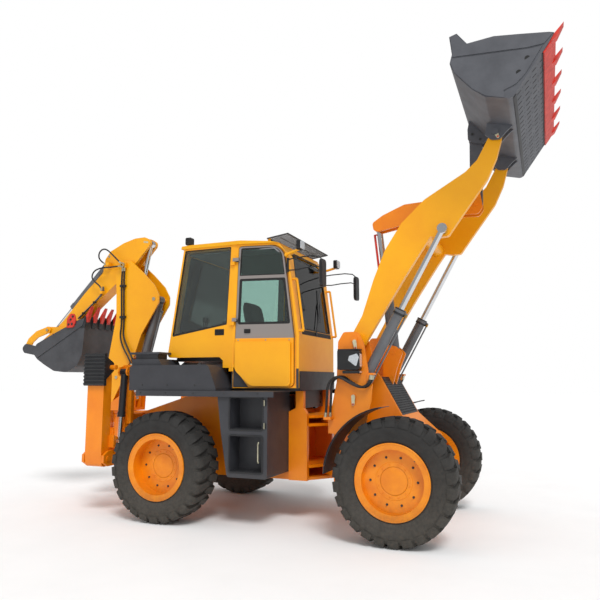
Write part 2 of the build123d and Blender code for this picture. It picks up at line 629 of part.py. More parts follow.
BUCKET_OUT = [
    (1930, 4720, 0), (1950, 4540, 0), (1925, 4450, 40), (1965, 4350, 80), (2020, 4280, 0),
    (2120, 4160, 100), (2230, 4070, 60),
    (2460, 4010, 60), (2790, 4475, 0), (2840, 4560, 0), (2800, 4575, 0), (2560, 4610, 0),
    (2330, 4640, 0), (2090, 4620, 0), (2000, 4740, 0)]
BUCKET_IN = [
    (1950, 4900, 0), (1968, 4543, 0), (1943, 4452, 30), (1980, 4357, 60), (2033, 4289, 0),
    (2131, 4172, 80), (2237, 4086, 50),
    (2452, 4030, 45), (2775, 4484, 0), (2860, 4620, 0), (2860, 4900, 0)]
# Raised faces of the side plate: the wear plate below and the lip above it
BUCKET_FACES = (
    [(1975, 4492, 0), (1935, 4455, 0), (1970, 4350, 40), (2030, 4280, 0), (2125, 4165, 80),
        (2240, 4076, 40),
     (2400, 4030, 0), (2395, 4100, 0), (2500, 4140, 80), (2585, 4222, 0), (2670, 4352, 0), (2736, 4455, 0),
     (2620, 4448, 0)],
    [(1940, 4700, 0), (1958, 4540, 0), (1952, 4512, 0), (2620, 4466, 0), (2752, 4474, 0), (2832, 4560, 0),
     (2800, 4570, 0), (2560, 4605, 0), (2330, 4635, 0), (2085, 4615, 0), (1998, 4732, 0)],
)
with BuildPart() as bucket:
    slab(side(0), BUCKET_OUT, 2 * (BUCKET_HALF - BUCKET_RAISED))
    for face in BUCKET_FACES:
        plates(BUCKET_HALF - BUCKET_RAISED, BUCKET_HALF, face)
    slab(side(0), BUCKET_IN, 2 * (BUCKET_HALF - BUCKET_PLATE), Mode.SUBTRACT)
    for y in (ARM_Y - ARM_W / 2 - 23, ARM_Y + ARM_W / 2 + 23):
        plates(y - 11, y + 11, EAR)
    discs(ARM_Y - ARM_W / 2 - 34, ARM_Y + ARM_W / 2 + 50, BUCKET_PIN, ARM_PIN_R)
    plates(44, 66, [
        (1985, 4400, 0), (1950, 4240, 30), (1950, 4120, 40), (2010, 4080, 40), (2110, 4060, 0),
        (2180, 4130, 0)])
save(bucket.part, "loader_bucket")

with BuildPart() as teeth:
    slab(side(0), [
        (2738.3, 4401.8, 0), (2790.3, 4474.8, 0), (2840.3, 4559.8, 0), (2854, 4552, 0), (2803, 4466, 0),
        (2751, 4393, 0)], 2 * (BUCKET_HALF - BUCKET_PLATE))
    outer_tooth = BUCKET_HALF - 62
    for i in range(BUCKET_TEETH):
        y = -outer_tooth + 2 * outer_tooth / (BUCKET_TEETH - 1) * i
        slab(side(y), [(2790.3, 4474.8, 0), (2862, 4528, 0), (2923, 4650, 0), (2840.3, 4559.8, 0)], 90)
save(teeth.part, "bucket_teeth")

# Swing post
# The hoses turn with the dipper on a swivel at the dipper's pin
SWIVEL_R = 16
SWIVEL = (173, 197)
with BuildPart() as swing:
    post((SWING_X, 0), 88, (536, 1064))
    post((SWING_X, 0), KING_R, (480, 1112))
    block((-2930, -2660), (-60, 60), (536, 880))
    block((-2930, -2765), (-160, 160), (536, 880))
    plates(138, 162, [
        (-2930, 540, 0), (-2765, 540, 0), (-2765, 1112, 0), (-2375, 1112, 0), (-2365, 1320, 40),
        (-2480, 1340, 40),
        (-2730, 1180, 0), (-2900, 1100, 40), (-2935, 1000, 0)])
    block((-2695, -2375), (-150, 150), (1112, 1150))
    plates(42, 64, [(-2520, 1140, 0), (-2375, 1140, 0), (-2365, 1290, 40), (-2430, 1340, 40),
        (-2500, 1290, 40)])
    disc(side(0), BOOM_FOOT, 38, 330)
save(swing.part, "swing_post")

BOOM = [
    (-2918, 1000, 60), (-2860, 925, 60), (-2785, 930, 40), (-2742, 1105, 0), (-2500, 1560, 60),
    (-2470, 1650, 40), (-2420, 1760, 40),
    (-2360, 1810, 60), (-2260, 2090, 0), (-2000, 2500, 60), (-2000, 2600, 60), (-2080, 2740, 60),
    (-2260, 2915, 120), (-2460, 3085, 50),
    (-2600, 3100, 60), (-2668, 3020, 50), (-2705, 2900, 0), (-2685, 2700, 0), (-2670, 2340, 0),
    (-2770, 1790, 60), (-2690, 1660, 60), (-2830, 1250, 0)]
with BuildPart() as boom:
    plates(108, 130, BOOM)
    slab(side(0), [
        (-2905, 1000, 0), (-2860, 940, 0), (-2800, 940, 0), (-2760, 1110, 0), (-2610, 1390, 0),
        (-2765, 1390, 0), (-2820, 1250, 0)], 250)
    slab(side(0), [(-2760, 1790, 0), (-2665, 2330, 0), (-2672, 2520, 0), (-2652, 2520, 0),
        (-2645, 2335, 0), (-2738, 1790, 0)], 250)
    slab(side(0), [(-2420, 1790, 0), (-2370, 1820, 0), (-2270, 2100, 0), (-2290, 2110, 0),
        (-2390, 1830, 0)], 250)
    disc(side(0), BOOM_FOOT, 38 + FIT, 400, Mode.SUBTRACT)
    disc(side(0), BOOM_HUMP, 28, 270)
    disc(side(0), DIPPER_PIN, DIG_PIN_R, 290)
    disc(side(0), DIPPER_BASE, 26, 270)
    bar((DIPPER_PIN[0], -140, DIPPER_PIN[1]), (DIPPER_PIN[0], -SWIVEL[1] - 7, DIPPER_PIN[1]), SWIVEL_R)
    block((-2600, -2520), (-SWIVEL[0] + 5, -144), (2996, 3064))
    block((-2490, -2300), (-190, -108), (1640, 1665))
save(boom.part, "boom")

DIPPER = [
    (-2925, 3150, 40), (-2840, 3255, 40), (-2630, 3350, 100), (-2440, 3400, 60), (-2280, 3405, 50),
    (-2190, 3350, 50), (-2200, 3290, 40),
    (-2480, 2990, 60), (-2600, 2950, 40), (-2690, 2830, 0), (-3130, 2480, 0), (-3560, 2140, 0),
    (-3900, 1850, 40), (-3960, 1830, 60),
    (-4040, 1880, 60), (-4030, 1950, 50), (-3860, 2090, 0), (-3540, 2400, 0), (-3250, 2700, 0),
    (-2960, 2960, 60)]
with BuildPart() as dipper:
    slab(side(0), DIPPER, 180)
    slab(side(0), [
        (-2475, 2985, 0), (-2440, 3260, 0), (-2200, 3500, 0), (-2100, 3400, 0),
        (-2150, 2950, 0)], 90, Mode.SUBTRACT)
    disc(side(0), DIG_PIN, 62, 290)
    disc(side(0), DIPPER_PIN, DIG_PIN_R + FIT, 260, Mode.SUBTRACT)
    disc(side(0), LEVER_PIN, 24, 260)
    disc(side(0), DIG_PIN, 28 + FIT, 400, Mode.SUBTRACT)
    slab(side(0), [
        (-3100, 2840, 0), (-2820, 3140, 0), (-2780, 3190, 0), (-2780, 3500, 0), (-3300, 3500, 0),
        (-3300, 2840, 0)], 112, Mode.SUBTRACT)
    disc(side(0), DIG_BASE, 24, 170)
    block((-2850, -2800), (-172, -88), (3042, 3086))
    block((-2940, -2890), (-170, -88), (2665, 2700))
    slab(side(0), [
        (-3700, 2220, 0), (-3620, 2290, 0), (-3540, 2330, 0), (-3480, 2320, 0), (-3380, 2420, 0),
        (-3150, 2650, 0),
        (-3300, 2900, 0), (-3850, 2400, 0)], 92, Mode.SUBTRACT)
save(dipper.part, "dipper")

with BuildPart() as lever:
    strap(102, 122, LEVER_PIN, LEVER_TOP, 46)
    discs(95, 130, LEVER_PIN, 24 + FIT, Mode.SUBTRACT)
    discs(102, 160, LEVER_TOP, 24)
save(lever.part, "tipping_lever")

with BuildPart() as tip_link:
    plates(126, 146, [
        (-3835, 2248, 0), (-4040, 2190, 60), (-4180, 2090, 60), (-4253, 1960, 0), (-4160, 1935, 0),
        (-4100, 2030, 60),
        (-4010, 2100, 60), (-3835, 2154, 0)])
    discs(126, 146, LEVER_TOP, 48)
    discs(126, 146, LINK_PIN, 48)
    discs(120, 150, LEVER_TOP, 24 + FIT, Mode.SUBTRACT)
save(tip_link.part, "tipping_link")

DIG_OUT = [
    (-3920, 1890, 60), (-3850, 1790, 100), (-3720, 1715, 100), (-3540, 1625, 150), (-3320, 1605, 150),
    (-3150, 1690, 120), (-3070, 1840, 100),
    (-3050, 2100, 0), (-3045, 2330, 0), (-3200, 2290, 0), (-3320, 2230, 0), (-3610, 2110, 0),
    (-3860, 2000, 0)]
DIG_IN = [
    (-3880, 1990, 0), (-3902, 1895, 45), (-3840, 1803, 85), (-3714, 1729, 85), (-3536, 1639, 135),
    (-3322, 1619, 135), (-3161, 1701, 105), (-3084, 1843, 85),
    (-3064, 2100, 0), (-3059, 2500, 0), (-3200, 2500, 0), (-3610, 2300, 0)]
with BuildPart() as dig_bucket:
    slab(side(0), DIG_OUT, 2 * DIG_HALF)
    slab(side(0), DIG_IN, 2 * (DIG_HALF - DIG_PLATE), Mode.SUBTRACT)
    slab(side(0), [
        (-4000, 1770, 0), (-3895, 1770, 0), (-3700, 1975, 0), (-3700, 2200, 0),
        (-4000, 2200, 0)], 2 * (DIG_HALF - DIG_PLATE), Mode.SUBTRACT)
    plates(152, 176, [
        (-3850, 1795, 0), (-3920, 1890, 0), (-3990, 1845, 50), (-4220, 1885, 50), (-4265, 1950, 50),
        (-4205, 2015, 50), (-4060, 1985, 0), (-3960, 1960, 30), (-3850, 1990, 0), (-3780, 1900, 0),
        (-3780, 1770, 0)])
    disc(side(0), DIG_PIN, 28, 352)
    plates(DIG_HALF, DIG_HALF + 10, [
        (-3935, 1892, 0), (-3848, 1800, 0), (-3077, 2226, 0), (-3047, 2320, 0), (-3200, 2288, 0),
        (-3320, 2228, 0), (-3610, 2108, 0), (-3855, 1998, 0)])
save(dig_bucket.part, "dig_bucket")

with BuildPart() as dig_teeth:
    for y in (-270, -135, 0, 135, 270):
        slab(side(y), [(-3046.5, 2230, 0), (-3010, 2290, 0), (-2950, 2480, 0), (-3044.7, 2345, 0)], 56)
    plates(DIG_HALF + 10 + SEAT_GAP, DIG_HALF + 26, [
        (-3330, 2200, 0), (-3215, 2205, 30), (-3178, 2290, 40), (-3205, 2385, 40), (-3275, 2393, 40),
        (-3330, 2320, 40)])
save(dig_teeth.part, "dig_teeth")

# Stabilisers
for name, s in (("right", -1), ("left", 1)):
    with BuildPart() as leg:
        slab(cross((LEG_X[0] + LEG_X[1]) / 2), [
            (s * (LEG_Y - 60), 640, 0), (s * (LEG_Y - 40), 530, 40), (s * (LEG_Y + 60), 530, 50),
            (s * (LEG_Y + 75), 700, 0),
            (s * (LEG_Y + 75), 1500, 0), (s * (LEG_Y + 20), 1700, 30), (s * (LEG_Y - 40), 1700, 30),
            (s * (LEG_Y - 60), 1500, 0)],
            LEG_X[1] - LEG_X[0])
        disc(cross((LEG_X[0] + LEG_X[1]) / 2),
            (s * LEG_Y, LEG_PIVOT_Z), LEG_PIN_R + FIT, 400, Mode.SUBTRACT)
        slab(cross(LEG_X[1] + 34), [
            (s * (LEG_Y - 50), 740, 0), (s * (LEG_Y - 50), 880, 0), (s * 840, 850, 30),
            (s * 800, 800, 30), (s * 845, 755, 30)], 68)
        disc(cross(LEG_X[1] - 20), (s * (LEG_Y - 10), 1650), 28, 240)
    save(leg.part, f"stabiliser_leg_{name}")
    with BuildPart() as pad:
        slab(cross(-2180), [(s * 1042, 1440, 0), (s * 1070, 1440, 0), (s * 1070, 1810, 0),
            (s * 1042, 1810, 0)], 300)
        slab(cross(-2055), [(s * 900, 1610, 0), (s * 1045, 1500, 0), (s * 1045, 1780, 0),
            (s * 900, 1700, 30)], 22)
        slab(cross(-2325), [(s * 900, 1610, 0), (s * 1045, 1500, 0), (s * 1045, 1780, 0),
            (s * 900, 1700, 30)], 22)
        for i in range(9):
            disc(cross(-2180), (s * 1070, 1462 + 41 * i), 14, 296)
        disc(cross(-2190), (s * (LEG_Y - 10), 1650), 28 + FIT, 600, Mode.SUBTRACT)
    save(pad.part, f"stabiliser_pad_{name}")

# Hydraulic cylinders with pins across the machine: name, base (x, z), tip (x, z), places in y,
# barrel, rod and pin radius, widths of the base eye and the rod's eye, barrel length, what the rod
# may retract by, and on which side of the barrel its steel pipe runs
CYLINDERS = (
    ("lift", LIFT_BASE, LIFT_TIP, (-LIFT_Y, LIFT_Y), 54, 30, LIFT_PIN_R, 70, 70, 1020, 803, 1),
    ("tilt", TILT_BASE, HORN_PIN, (0,), 60, 34, LIFT_PIN_R, 100, 76, 760, 418, 0),
    ("boom", BOOM_HUMP, POST_PIN, (0,), 60, 34, 28, 90, 64, 1000, 0, -1),
    ("dipper", DIPPER_BASE, DIPPER_TAIL, (0,), 52, 30, 26, 90, 64, 1020, 730, 0),
    ("bucket", DIG_BASE, LEVER_TOP, (0,), 46, 26, 24, 70, 60, 950, 360, 0),
)
FLOOR = 30
GLAND = 60
PIPE_R = 9
PIPE_OFF = 24


def cylinder(start, end, radius, rod_r, pin_r, length, retract, eyes, planes, widths, pipe=0):
    """A barrel, with its steel pipe if it has one, and its rod between two points."""
    eye_r = pin_r * 1.8
    run = Vector(*end) - Vector(*start)
    unit = run.normalized()

    def at(distance):
        p = Vector(*start) + unit * distance
        return (p.X, p.Y, p.Z)

    inside = eye_r + FLOOR
    with BuildPart() as barrel:
        disc(planes, eyes[0], eye_r, widths[0])
        bar(at(eye_r * 0.7), at(inside), radius)
        bar(at(inside), at(length - GLAND), radius, rod_r + 4)
        bar(at(length - GLAND), at(length), radius + 6, rod_r + FIT)
        if pipe:
            clear = Vector(unit.Z, 0, -unit.X) * pipe * (radius + PIPE_OFF)
            foot = Vector(*at(inside + 60))
            head = Vector(*at(length - GLAND / 2))
            bar(tuple(foot + clear), tuple(head + clear), PIPE_R)
            bar(tuple(foot), tuple(foot + clear * 1.1), PIPE_R + 5)
            bar(tuple(head), tuple(head + clear * 1.1), PIPE_R + 5)
            bar(at(inside), at(length - GLAND), rod_r + 4, 0, Mode.SUBTRACT)
            bar(at(length - GLAND - 1), at(length + 1), rod_r + FIT, 0, Mode.SUBTRACT)
        disc(planes, eyes[0], pin_r + FIT, widths[0] + 10, Mode.SUBTRACT)
    with BuildPart() as rod:
        disc(planes, eyes[1], eye_r, widths[1])
        bar(at(inside + 15 + retract), at(run.length - eye_r * 0.6), rod_r)
    return barrel.part, rod.part


for name, base, tip, places, radius, rod_r, pin_r, base_w, tip_w, length, retract, pipe in CYLINDERS:
    barrels = []
    rods = []
    for y in places:
        pair = cylinder(
            (base[0], y, base[1]), (tip[0], y, tip[1]), radius, rod_r, pin_r, length, retract,
            (base, tip), side(y), (base_w, tip_w), pipe)
        barrels.append(pair[0])
        rods.append(pair[1])
    with BuildPart() as barrel:
        add(barrels)
    save(barrel.part, f"{name}_barrel")
    with BuildPart() as rod:
        add(rods)
    save(rod.part, f"{name}_rod")

for name, s in (("right", -1), ("left", 1)):
    base = (s * STAB_BASE[0], STAB_BASE[1])
    tip = (s * STAB_TIP[0], STAB_TIP[1])
    pair = cylinder(
        (STAB_X, *base), (STAB_X, *tip), 40, 24, STAB_PIN_R, 520, 0, (base, tip), cross(STAB_X), (84, 50))
    save(pair[0], f"stabiliser_barrel_{name}")
    save(pair[1], f"stabiliser_rod_{name}")

# Hydraulic hoses and steel pipes, each a tube along straight runs and round corners: radius, then
# its points (x, y, z)
FRAME_HOSES = (
    (13, ((545, -690, 1131.6), (562, -698, 1330), (566, -704, 1490), (680, -706, 1560), (800, -704, 1470),
          (905, -700, 1424), (985, -696, 1462), (1005, -692, 1552.8))),
    (13, ((515, -740, 1131.6), (532, -744, 1330), (540, -746, 1470), (640, -748, 1556), (790, -746, 1470),
          (895, -742, 1425), (980, -738, 1465), (998, -734, 1553))),
)
BOOM_HOSES = (
    (11, ((-2572, -157, 2994), (-2586, -155, 2900), (-2582, -152, 2670), (-2572, -150, 2440),
    (-2562, -150, 2220),
          (-2582, -152, 2080), (-2520, -160, 1930), (-2400, -170, 1770), (-2352, -172, 1670))),
    (11, ((-2542, -157, 2994.6), (-2548, -155, 2900), (-2544, -152, 2670), (-2534, -150, 2440),
    (-2524, -150, 2220),
          (-2532, -152, 2090), (-2450, -160, 1930), (-2350, -168, 1780), (-2320, -170, 1668.3))),
)
DIPPER_HOSES = (
    (10, ((-2580, -185, 3048), (-2700, -183, 3155), (-2860, -180, 3290), (-2975, -174, 3240),
    (-2970, -164, 3120),
          (-2854.8, -156, 3062))),
    (10, ((-2584, -185, 3020), (-2740, -184, 3010), (-2900, -182, 3018), (-3040, -178, 2985),
    (-3085, -172, 2890),
          (-3005, -164, 2815), (-2930, -158, 2762), (-2915, -156, 2702.8))),
)


def tube(points, radius):
    """A round tube that follows the points, with arcs at its corners."""
    stops = [Vector(MID + x, y, z) for x, y, z in points]
    radii = []
    for before, here, after in zip(stops, stops[1:], stops[2:]):
        half = (here - before).get_angle(after - here) / 2 * pi / 180
        radii.append(0.45 * min((here - before).length, (after - here).length) / tan(half))
    print("bend radii", [round(r) for r in radii])
    path = FilletPolyline(*stops, radius=radii)
    with BuildSketch(Plane(origin=path @ 0, z_dir=path % 0), mode=Mode.PRIVATE) as ring:
        Circle(radius)
    return sweep(ring.sketch, path=path)


for name, routes, places in (
        ("frame_hoses", FRAME_HOSES, RIGHT_AND_LEFT), ("boom_hoses", BOOM_HOSES, (-1,)),
        ("dipper_hoses", DIPPER_HOSES, (-1,))):
    tubes = [
        tube([(x, -s * y, z) for x, y, z in points], radius) for s in places for radius, points in routes]
    with BuildPart() as hoses:
        add(tubes)
        if name == "dipper_hoses":
            disc(side(-(SWIVEL[0] + SWIVEL[1]) / 2), DIPPER_PIN, 34, SWIVEL[1] - SWIVEL[0])
            disc(side(-(SWIVEL[0] + SWIVEL[1]) / 2), DIPPER_PIN, SWIVEL_R + FIT, 60, Mode.SUBTRACT)
    save(hoses.part, name)
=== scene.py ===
from math import cos, pi, radians, sin

import bmesh
import bpy
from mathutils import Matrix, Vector


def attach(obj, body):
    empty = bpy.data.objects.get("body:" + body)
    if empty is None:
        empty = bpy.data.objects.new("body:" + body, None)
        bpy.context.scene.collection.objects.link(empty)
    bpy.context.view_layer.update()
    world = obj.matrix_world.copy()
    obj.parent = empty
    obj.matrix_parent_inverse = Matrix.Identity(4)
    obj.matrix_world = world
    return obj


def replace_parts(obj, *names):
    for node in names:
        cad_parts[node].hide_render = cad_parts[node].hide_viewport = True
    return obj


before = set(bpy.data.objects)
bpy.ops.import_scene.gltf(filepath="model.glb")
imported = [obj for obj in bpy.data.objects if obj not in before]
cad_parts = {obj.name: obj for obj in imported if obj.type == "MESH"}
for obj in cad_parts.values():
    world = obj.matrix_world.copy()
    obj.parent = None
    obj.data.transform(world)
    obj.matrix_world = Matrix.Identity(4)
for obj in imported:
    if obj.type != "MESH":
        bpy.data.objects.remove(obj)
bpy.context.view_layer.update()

# Lengths are in millimetres: x forward from the middle of the wheelbase, y to the left and z up
# from the ground. MID is where the wheelbase's middle stands in the frame.
MM = 0.001
MID = 690
SIDES = (("right", -1), ("left", 1))
FRONT_AXLE = 1280
# Wheels: name, place along the machine, side, how far the disc lies inside the rim's outer lip
WHEELS = (
    ("front_right", FRONT_AXLE, -1, 90),
    ("front_left", FRONT_AXLE, 1, 90),
    ("rear_right", -FRONT_AXLE, -1, 150),
    ("rear_left", -FRONT_AXLE, 1, 150),
)
HALF_TRACK = 938
TYRE_R = 583
RIM_HALF = 176


# Materials

def linear(code):
    """An sRGB hex colour as linear light."""
    parts = [int(code[i:i + 2], 16) / 255 for i in (1, 3, 5)]
    return (*[p / 12.92 if p <= 0.04045 else ((p + 0.055) / 1.055) ** 2.4 for p in parts], 1)


def add(tree, kind, inputs, **settings):
    """A shader node with its settings, and its inputs set or linked."""
    made = tree.nodes.new("ShaderNode" + kind)
    for key, value in settings.items():
        setattr(made, key, value)
    for key, value in inputs.items():
        if isinstance(value, bpy.types.NodeSocket):
            tree.links.new(value, made.inputs[key])
        else:
            made.inputs[key].default_value = value
    return made


def per_mm(size):
    """The noise scale at which a pattern is this many millimetres across."""
    return 1 / (size * MM)


def finish(name, base, shade, patch, rough, grain=0.0, depth=0.0, dust=None, low=0.0, metallic=0.0,
           coat=0.0, ior=1.5, split=None):
    """A surface whose colour drifts from base to shade in patches, with grain and dust low down."""
    made = bpy.data.materials.new(name)
    made.use_nodes = True
    tree = made.node_tree
    shader = tree.nodes["Principled BSDF"]
    place = add(tree, "TexCoord", {}).outputs["Object"]
    drift = add(tree, "TexNoise", {"Vector": place, "Scale": per_mm(patch), "Detail": 4, "Roughness": 0.6})
    fade = add(tree, "MapRange", {0: drift.outputs[0], 1: 0.35, 2: 0.7})
    colours = {0: fade.outputs[0], 6: linear(base), 7: linear(shade)}
    colour = add(tree, "Mix", colours, data_type="RGBA").outputs[2]
    height = add(tree, "SeparateXYZ", {0: place}).outputs[2]
    if split:
        above = add(tree, "MapRange", {0: height, 1: split[0] * MM, 2: (split[0] + 2) * MM})
        colours = {0: above.outputs[0], 6: colour, 7: linear(split[1])}
        colour = add(tree, "Mix", colours, data_type="RGBA").outputs[2]
    if dust:
        specks = add(tree, "TexNoise", {"Vector": place, "Scale": per_mm(28), "Detail": 6, "Roughness": 0.7})
        lower = add(tree, "MapRange", {0: height, 1: low * MM, 2: 0.2, 3: 0.1, 4: 0.75})
        cover = add(tree, "Math", {0: specks.outputs[0], 1: lower.outputs[0]}, operation="MULTIPLY")
        shown = add(tree, "MapRange", {0: cover.outputs[0], 1: 0.1, 2: 0.6, 4: 0.7})
        colours = {0: shown.outputs[0], 6: colour, 7: linear(dust)}
        colour = add(tree, "Mix", colours, data_type="RGBA").outputs[2]
    tree.links.new(colour, shader.inputs["Base Color"])
    sheen = add(tree, "MapRange", {0: drift.outputs[0], 3: rough - 0.06, 4: rough + 0.08})
    tree.links.new(sheen.outputs[0], shader.inputs["Roughness"])
    shader.inputs["Metallic"].default_value = metallic
    shader.inputs["IOR"].default_value = ior
    shader.inputs["Coat Weight"].default_value = coat
    shader.inputs["Coat Roughness"].default_value = 0.12
    if grain:
        pits = add(tree, "TexNoise", {"Vector": place, "Scale": per_mm(grain), "Detail": 3})
        bump = add(tree, "Bump", {"Height": pits.outputs[0], "Strength": 0.5, "Distance": depth * MM})
        tree.links.new(bump.outputs[0], shader.inputs["Normal"])
    return made


# Sprayed enamel on welded plate: gloss with slight orange peel, dusted towards the ground
yellow = finish("yellow_enamel_sprayed", "#FBB000", "#F4A400", 420, 0.36, 7, 0.25, coat=0.12)
orange = finish("orange_enamel_sprayed", "#F48C00", "#E87C00", 360, 0.4, 7, 0.25, "#8A5A22", 560, coat=0.1)
rim_paint = finish("rim_enamel_sprayed", "#F09000", "#E07C00", 160, 0.42, 6, 0.25, "#7A5126", 500, coat=0.08)
door_paint = finish("door_enamel_two_tone", "#FBB000", "#F4A400", 420, 0.36, 7, 0.25, coat=0.12,
                    split=(1962, "#8B8480"))
red_paint = finish("red_enamel_on_cutting_steel", "#DC3420", "#B92416", 60, 0.45, 9, 0.5, coat=0.15)
# Roto-moulded polyethylene covers: satin, with a fine moulded grain
charcoal = finish("charcoal_moulded_cover", "#3B3C41", "#333439", 260, 0.46, 5, 0.5, "#5E564B", 700)
# Dark enamel on plate that has worked in soil
bucket_paint = finish("bucket_dark_enamel", "#5A5C62", "#4B4D53", 240, 0.48, 14, 0.8)
dig_paint = finish("digging_bucket_dark_enamel", "#47484C", "#3A3B3F", 180, 0.5, 14, 0.8)
barrel_paint = finish("cylinder_grey_enamel", "#626468", "#56585C", 160, 0.35, 6, 0.2, coat=0.3)
black_paint = finish("black_enamel_on_steel", "#232427", "#1B1C1F", 120, 0.4, 6, 0.25)
roof_paint = finish("roof_yellow_enamel", "#F4B000", "#E8A200", 400, 0.4, 7, 0.2)
lining = finish("cab_lining_pressed_felt", "#8E9092", "#7E8083", 60, 0.85, 3, 0.6)
# Natural rubber with carbon black: matt, with dry dust in the low places
rubber = finish("tyre_rubber_moulded", "#2E2D2C", "#262524", 90, 0.82, 4, 0.9, "#5B554B", 1100)
# Black extruded rubber for the seals, also used as painted shade in the loader bucket's floor slots and side
# eye holes
black_seal_and_shade = finish("rubber_seal_and_painted_shade", "#151515", "#1D1D1D", 40, 0.6, 3, 0.3)
hose_rubber = finish("hydraulic_hose_rubber", "#1B1B1C", "#262627", 20, 0.5, 3, 0.3)
plastic = finish("black_moulded_abs", "#1D1D1F", "#161618", 80, 0.42, 3, 0.25)
vinyl = finish("seat_vinyl_grained", "#26272A", "#1E1F22", 120, 0.55, 4, 0.5)
# Bare and plated metals
chrome = finish("hard_chrome_ground", "#D5D7DA", "#C9CBCE", 300, 0.13, metallic=1.0)
zinc = finish("zinc_plated_steel", "#C9C5AE", "#B5AF93", 30, 0.36, 3, 0.2, metallic=0.85)
casting = finish("cast_iron_painted", "#3A3A3B", "#2F2F30", 60, 0.6, 10, 0.8)
cream = finish("lock_plate_passivated", "#D9D3B4", "#C6BE98", 25, 0.4, 3, 0.2, metallic=0.3)
reflector = finish("lamp_reflector_bright", "#E6EAEE", "#CBD2D8", 18, 0.16, 12, 1.2, metallic=0.6)


def glazing(name, tint, clear):
    """Toughened float glass with a body tint: mostly see-through, with a sharp reflection."""
    made = bpy.data.materials.new(name)
    made.use_nodes = True
    tree = made.node_tree
    tree.nodes.remove(tree.nodes["Principled BSDF"])
    place = add(tree, "TexCoord", {}).outputs["Object"]
    haze = add(tree, "TexNoise", {"Vector": place, "Scale": per_mm(500), "Detail": 2})
    film = add(tree, "MapRange", {0: haze.outputs[0], 3: 0.02, 4: 0.07})
    body = add(tree, "BsdfTransparent", {"Color": linear(tint)})
    gloss = add(tree, "BsdfGlossy", {"Roughness": film.outputs[0]})
    angle = add(tree, "Fresnel", {"IOR": 1.5})
    mirror = add(tree, "MapRange", {0: angle.outputs[0], 3: 1 - clear, 4: 1})
    mixed = add(tree, "MixShader", {0: mirror.outputs[0], 1: body.outputs[0], 2: gloss.outputs[0]})
    tree.links.new(mixed.outputs[0], tree.nodes["Material Output"].inputs[0])
    return made


glass = glazing("glass_light_green_tint", "#E6F0ED", 0.95)
door_glass = glazing("door_glass_teal_tint", "#D6EAE4", 0.95)

CAD_FINISH = {
    yellow: ("cab_shell", "loader_arms", "boom", "dipper", "tipping_link", "tipping_lever"),
    roof_paint: ("cab_roof",),
    orange: ("rear_frame", "front_frame", "front_axle", "rear_axle", "rocker", "swing_post",
             "stabiliser_leg_right", "stabiliser_leg_left"),
    rim_paint: ("rim_front_right", "rim_front_left", "rim_rear_right", "rim_rear_left"),
    door_paint: ("door_right", "door_left"),
    charcoal: ("step_boxes", "side_boxes", "front_fenders"),
    bucket_paint: ("loader_bucket", "bucket_link"),
    dig_paint: ("dig_bucket",),
    red_paint: ("bucket_teeth", "dig_teeth"),
    barrel_paint: ("lift_barrel", "tilt_barrel", "boom_barrel", "dipper_barrel", "bucket_barrel"),
    black_paint: ("stabiliser_barrel_right", "stabiliser_barrel_left", "stabiliser_pad_right",
                  "stabiliser_pad_left", "cab_floor"),
    chrome: ("lift_rod", "tilt_rod", "boom_rod", "dipper_rod", "bucket_rod",
             "stabiliser_rod_right", "stabiliser_rod_left"),
    casting: ("engine_block",),
    plastic: ("mirrors_lamps_and_guard", "headlights"),
    vinyl: ("seat_and_controls",),
    hose_rubber: ("frame_hoses", "boom_hoses", "dipper_hoses"),
    rubber: tuple(f"tyre_{wheel[0]}" for wheel in WHEELS),
    glass: ("cab_glass",),
    door_glass: ("door_glass_right", "door_glass_left"),
}
for material, names in CAD_FINISH.items():
    for name in names:
        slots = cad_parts[name].material_slots
        for slot in slots:
            slot.link = "OBJECT"
            slot.material = material


# Shapes

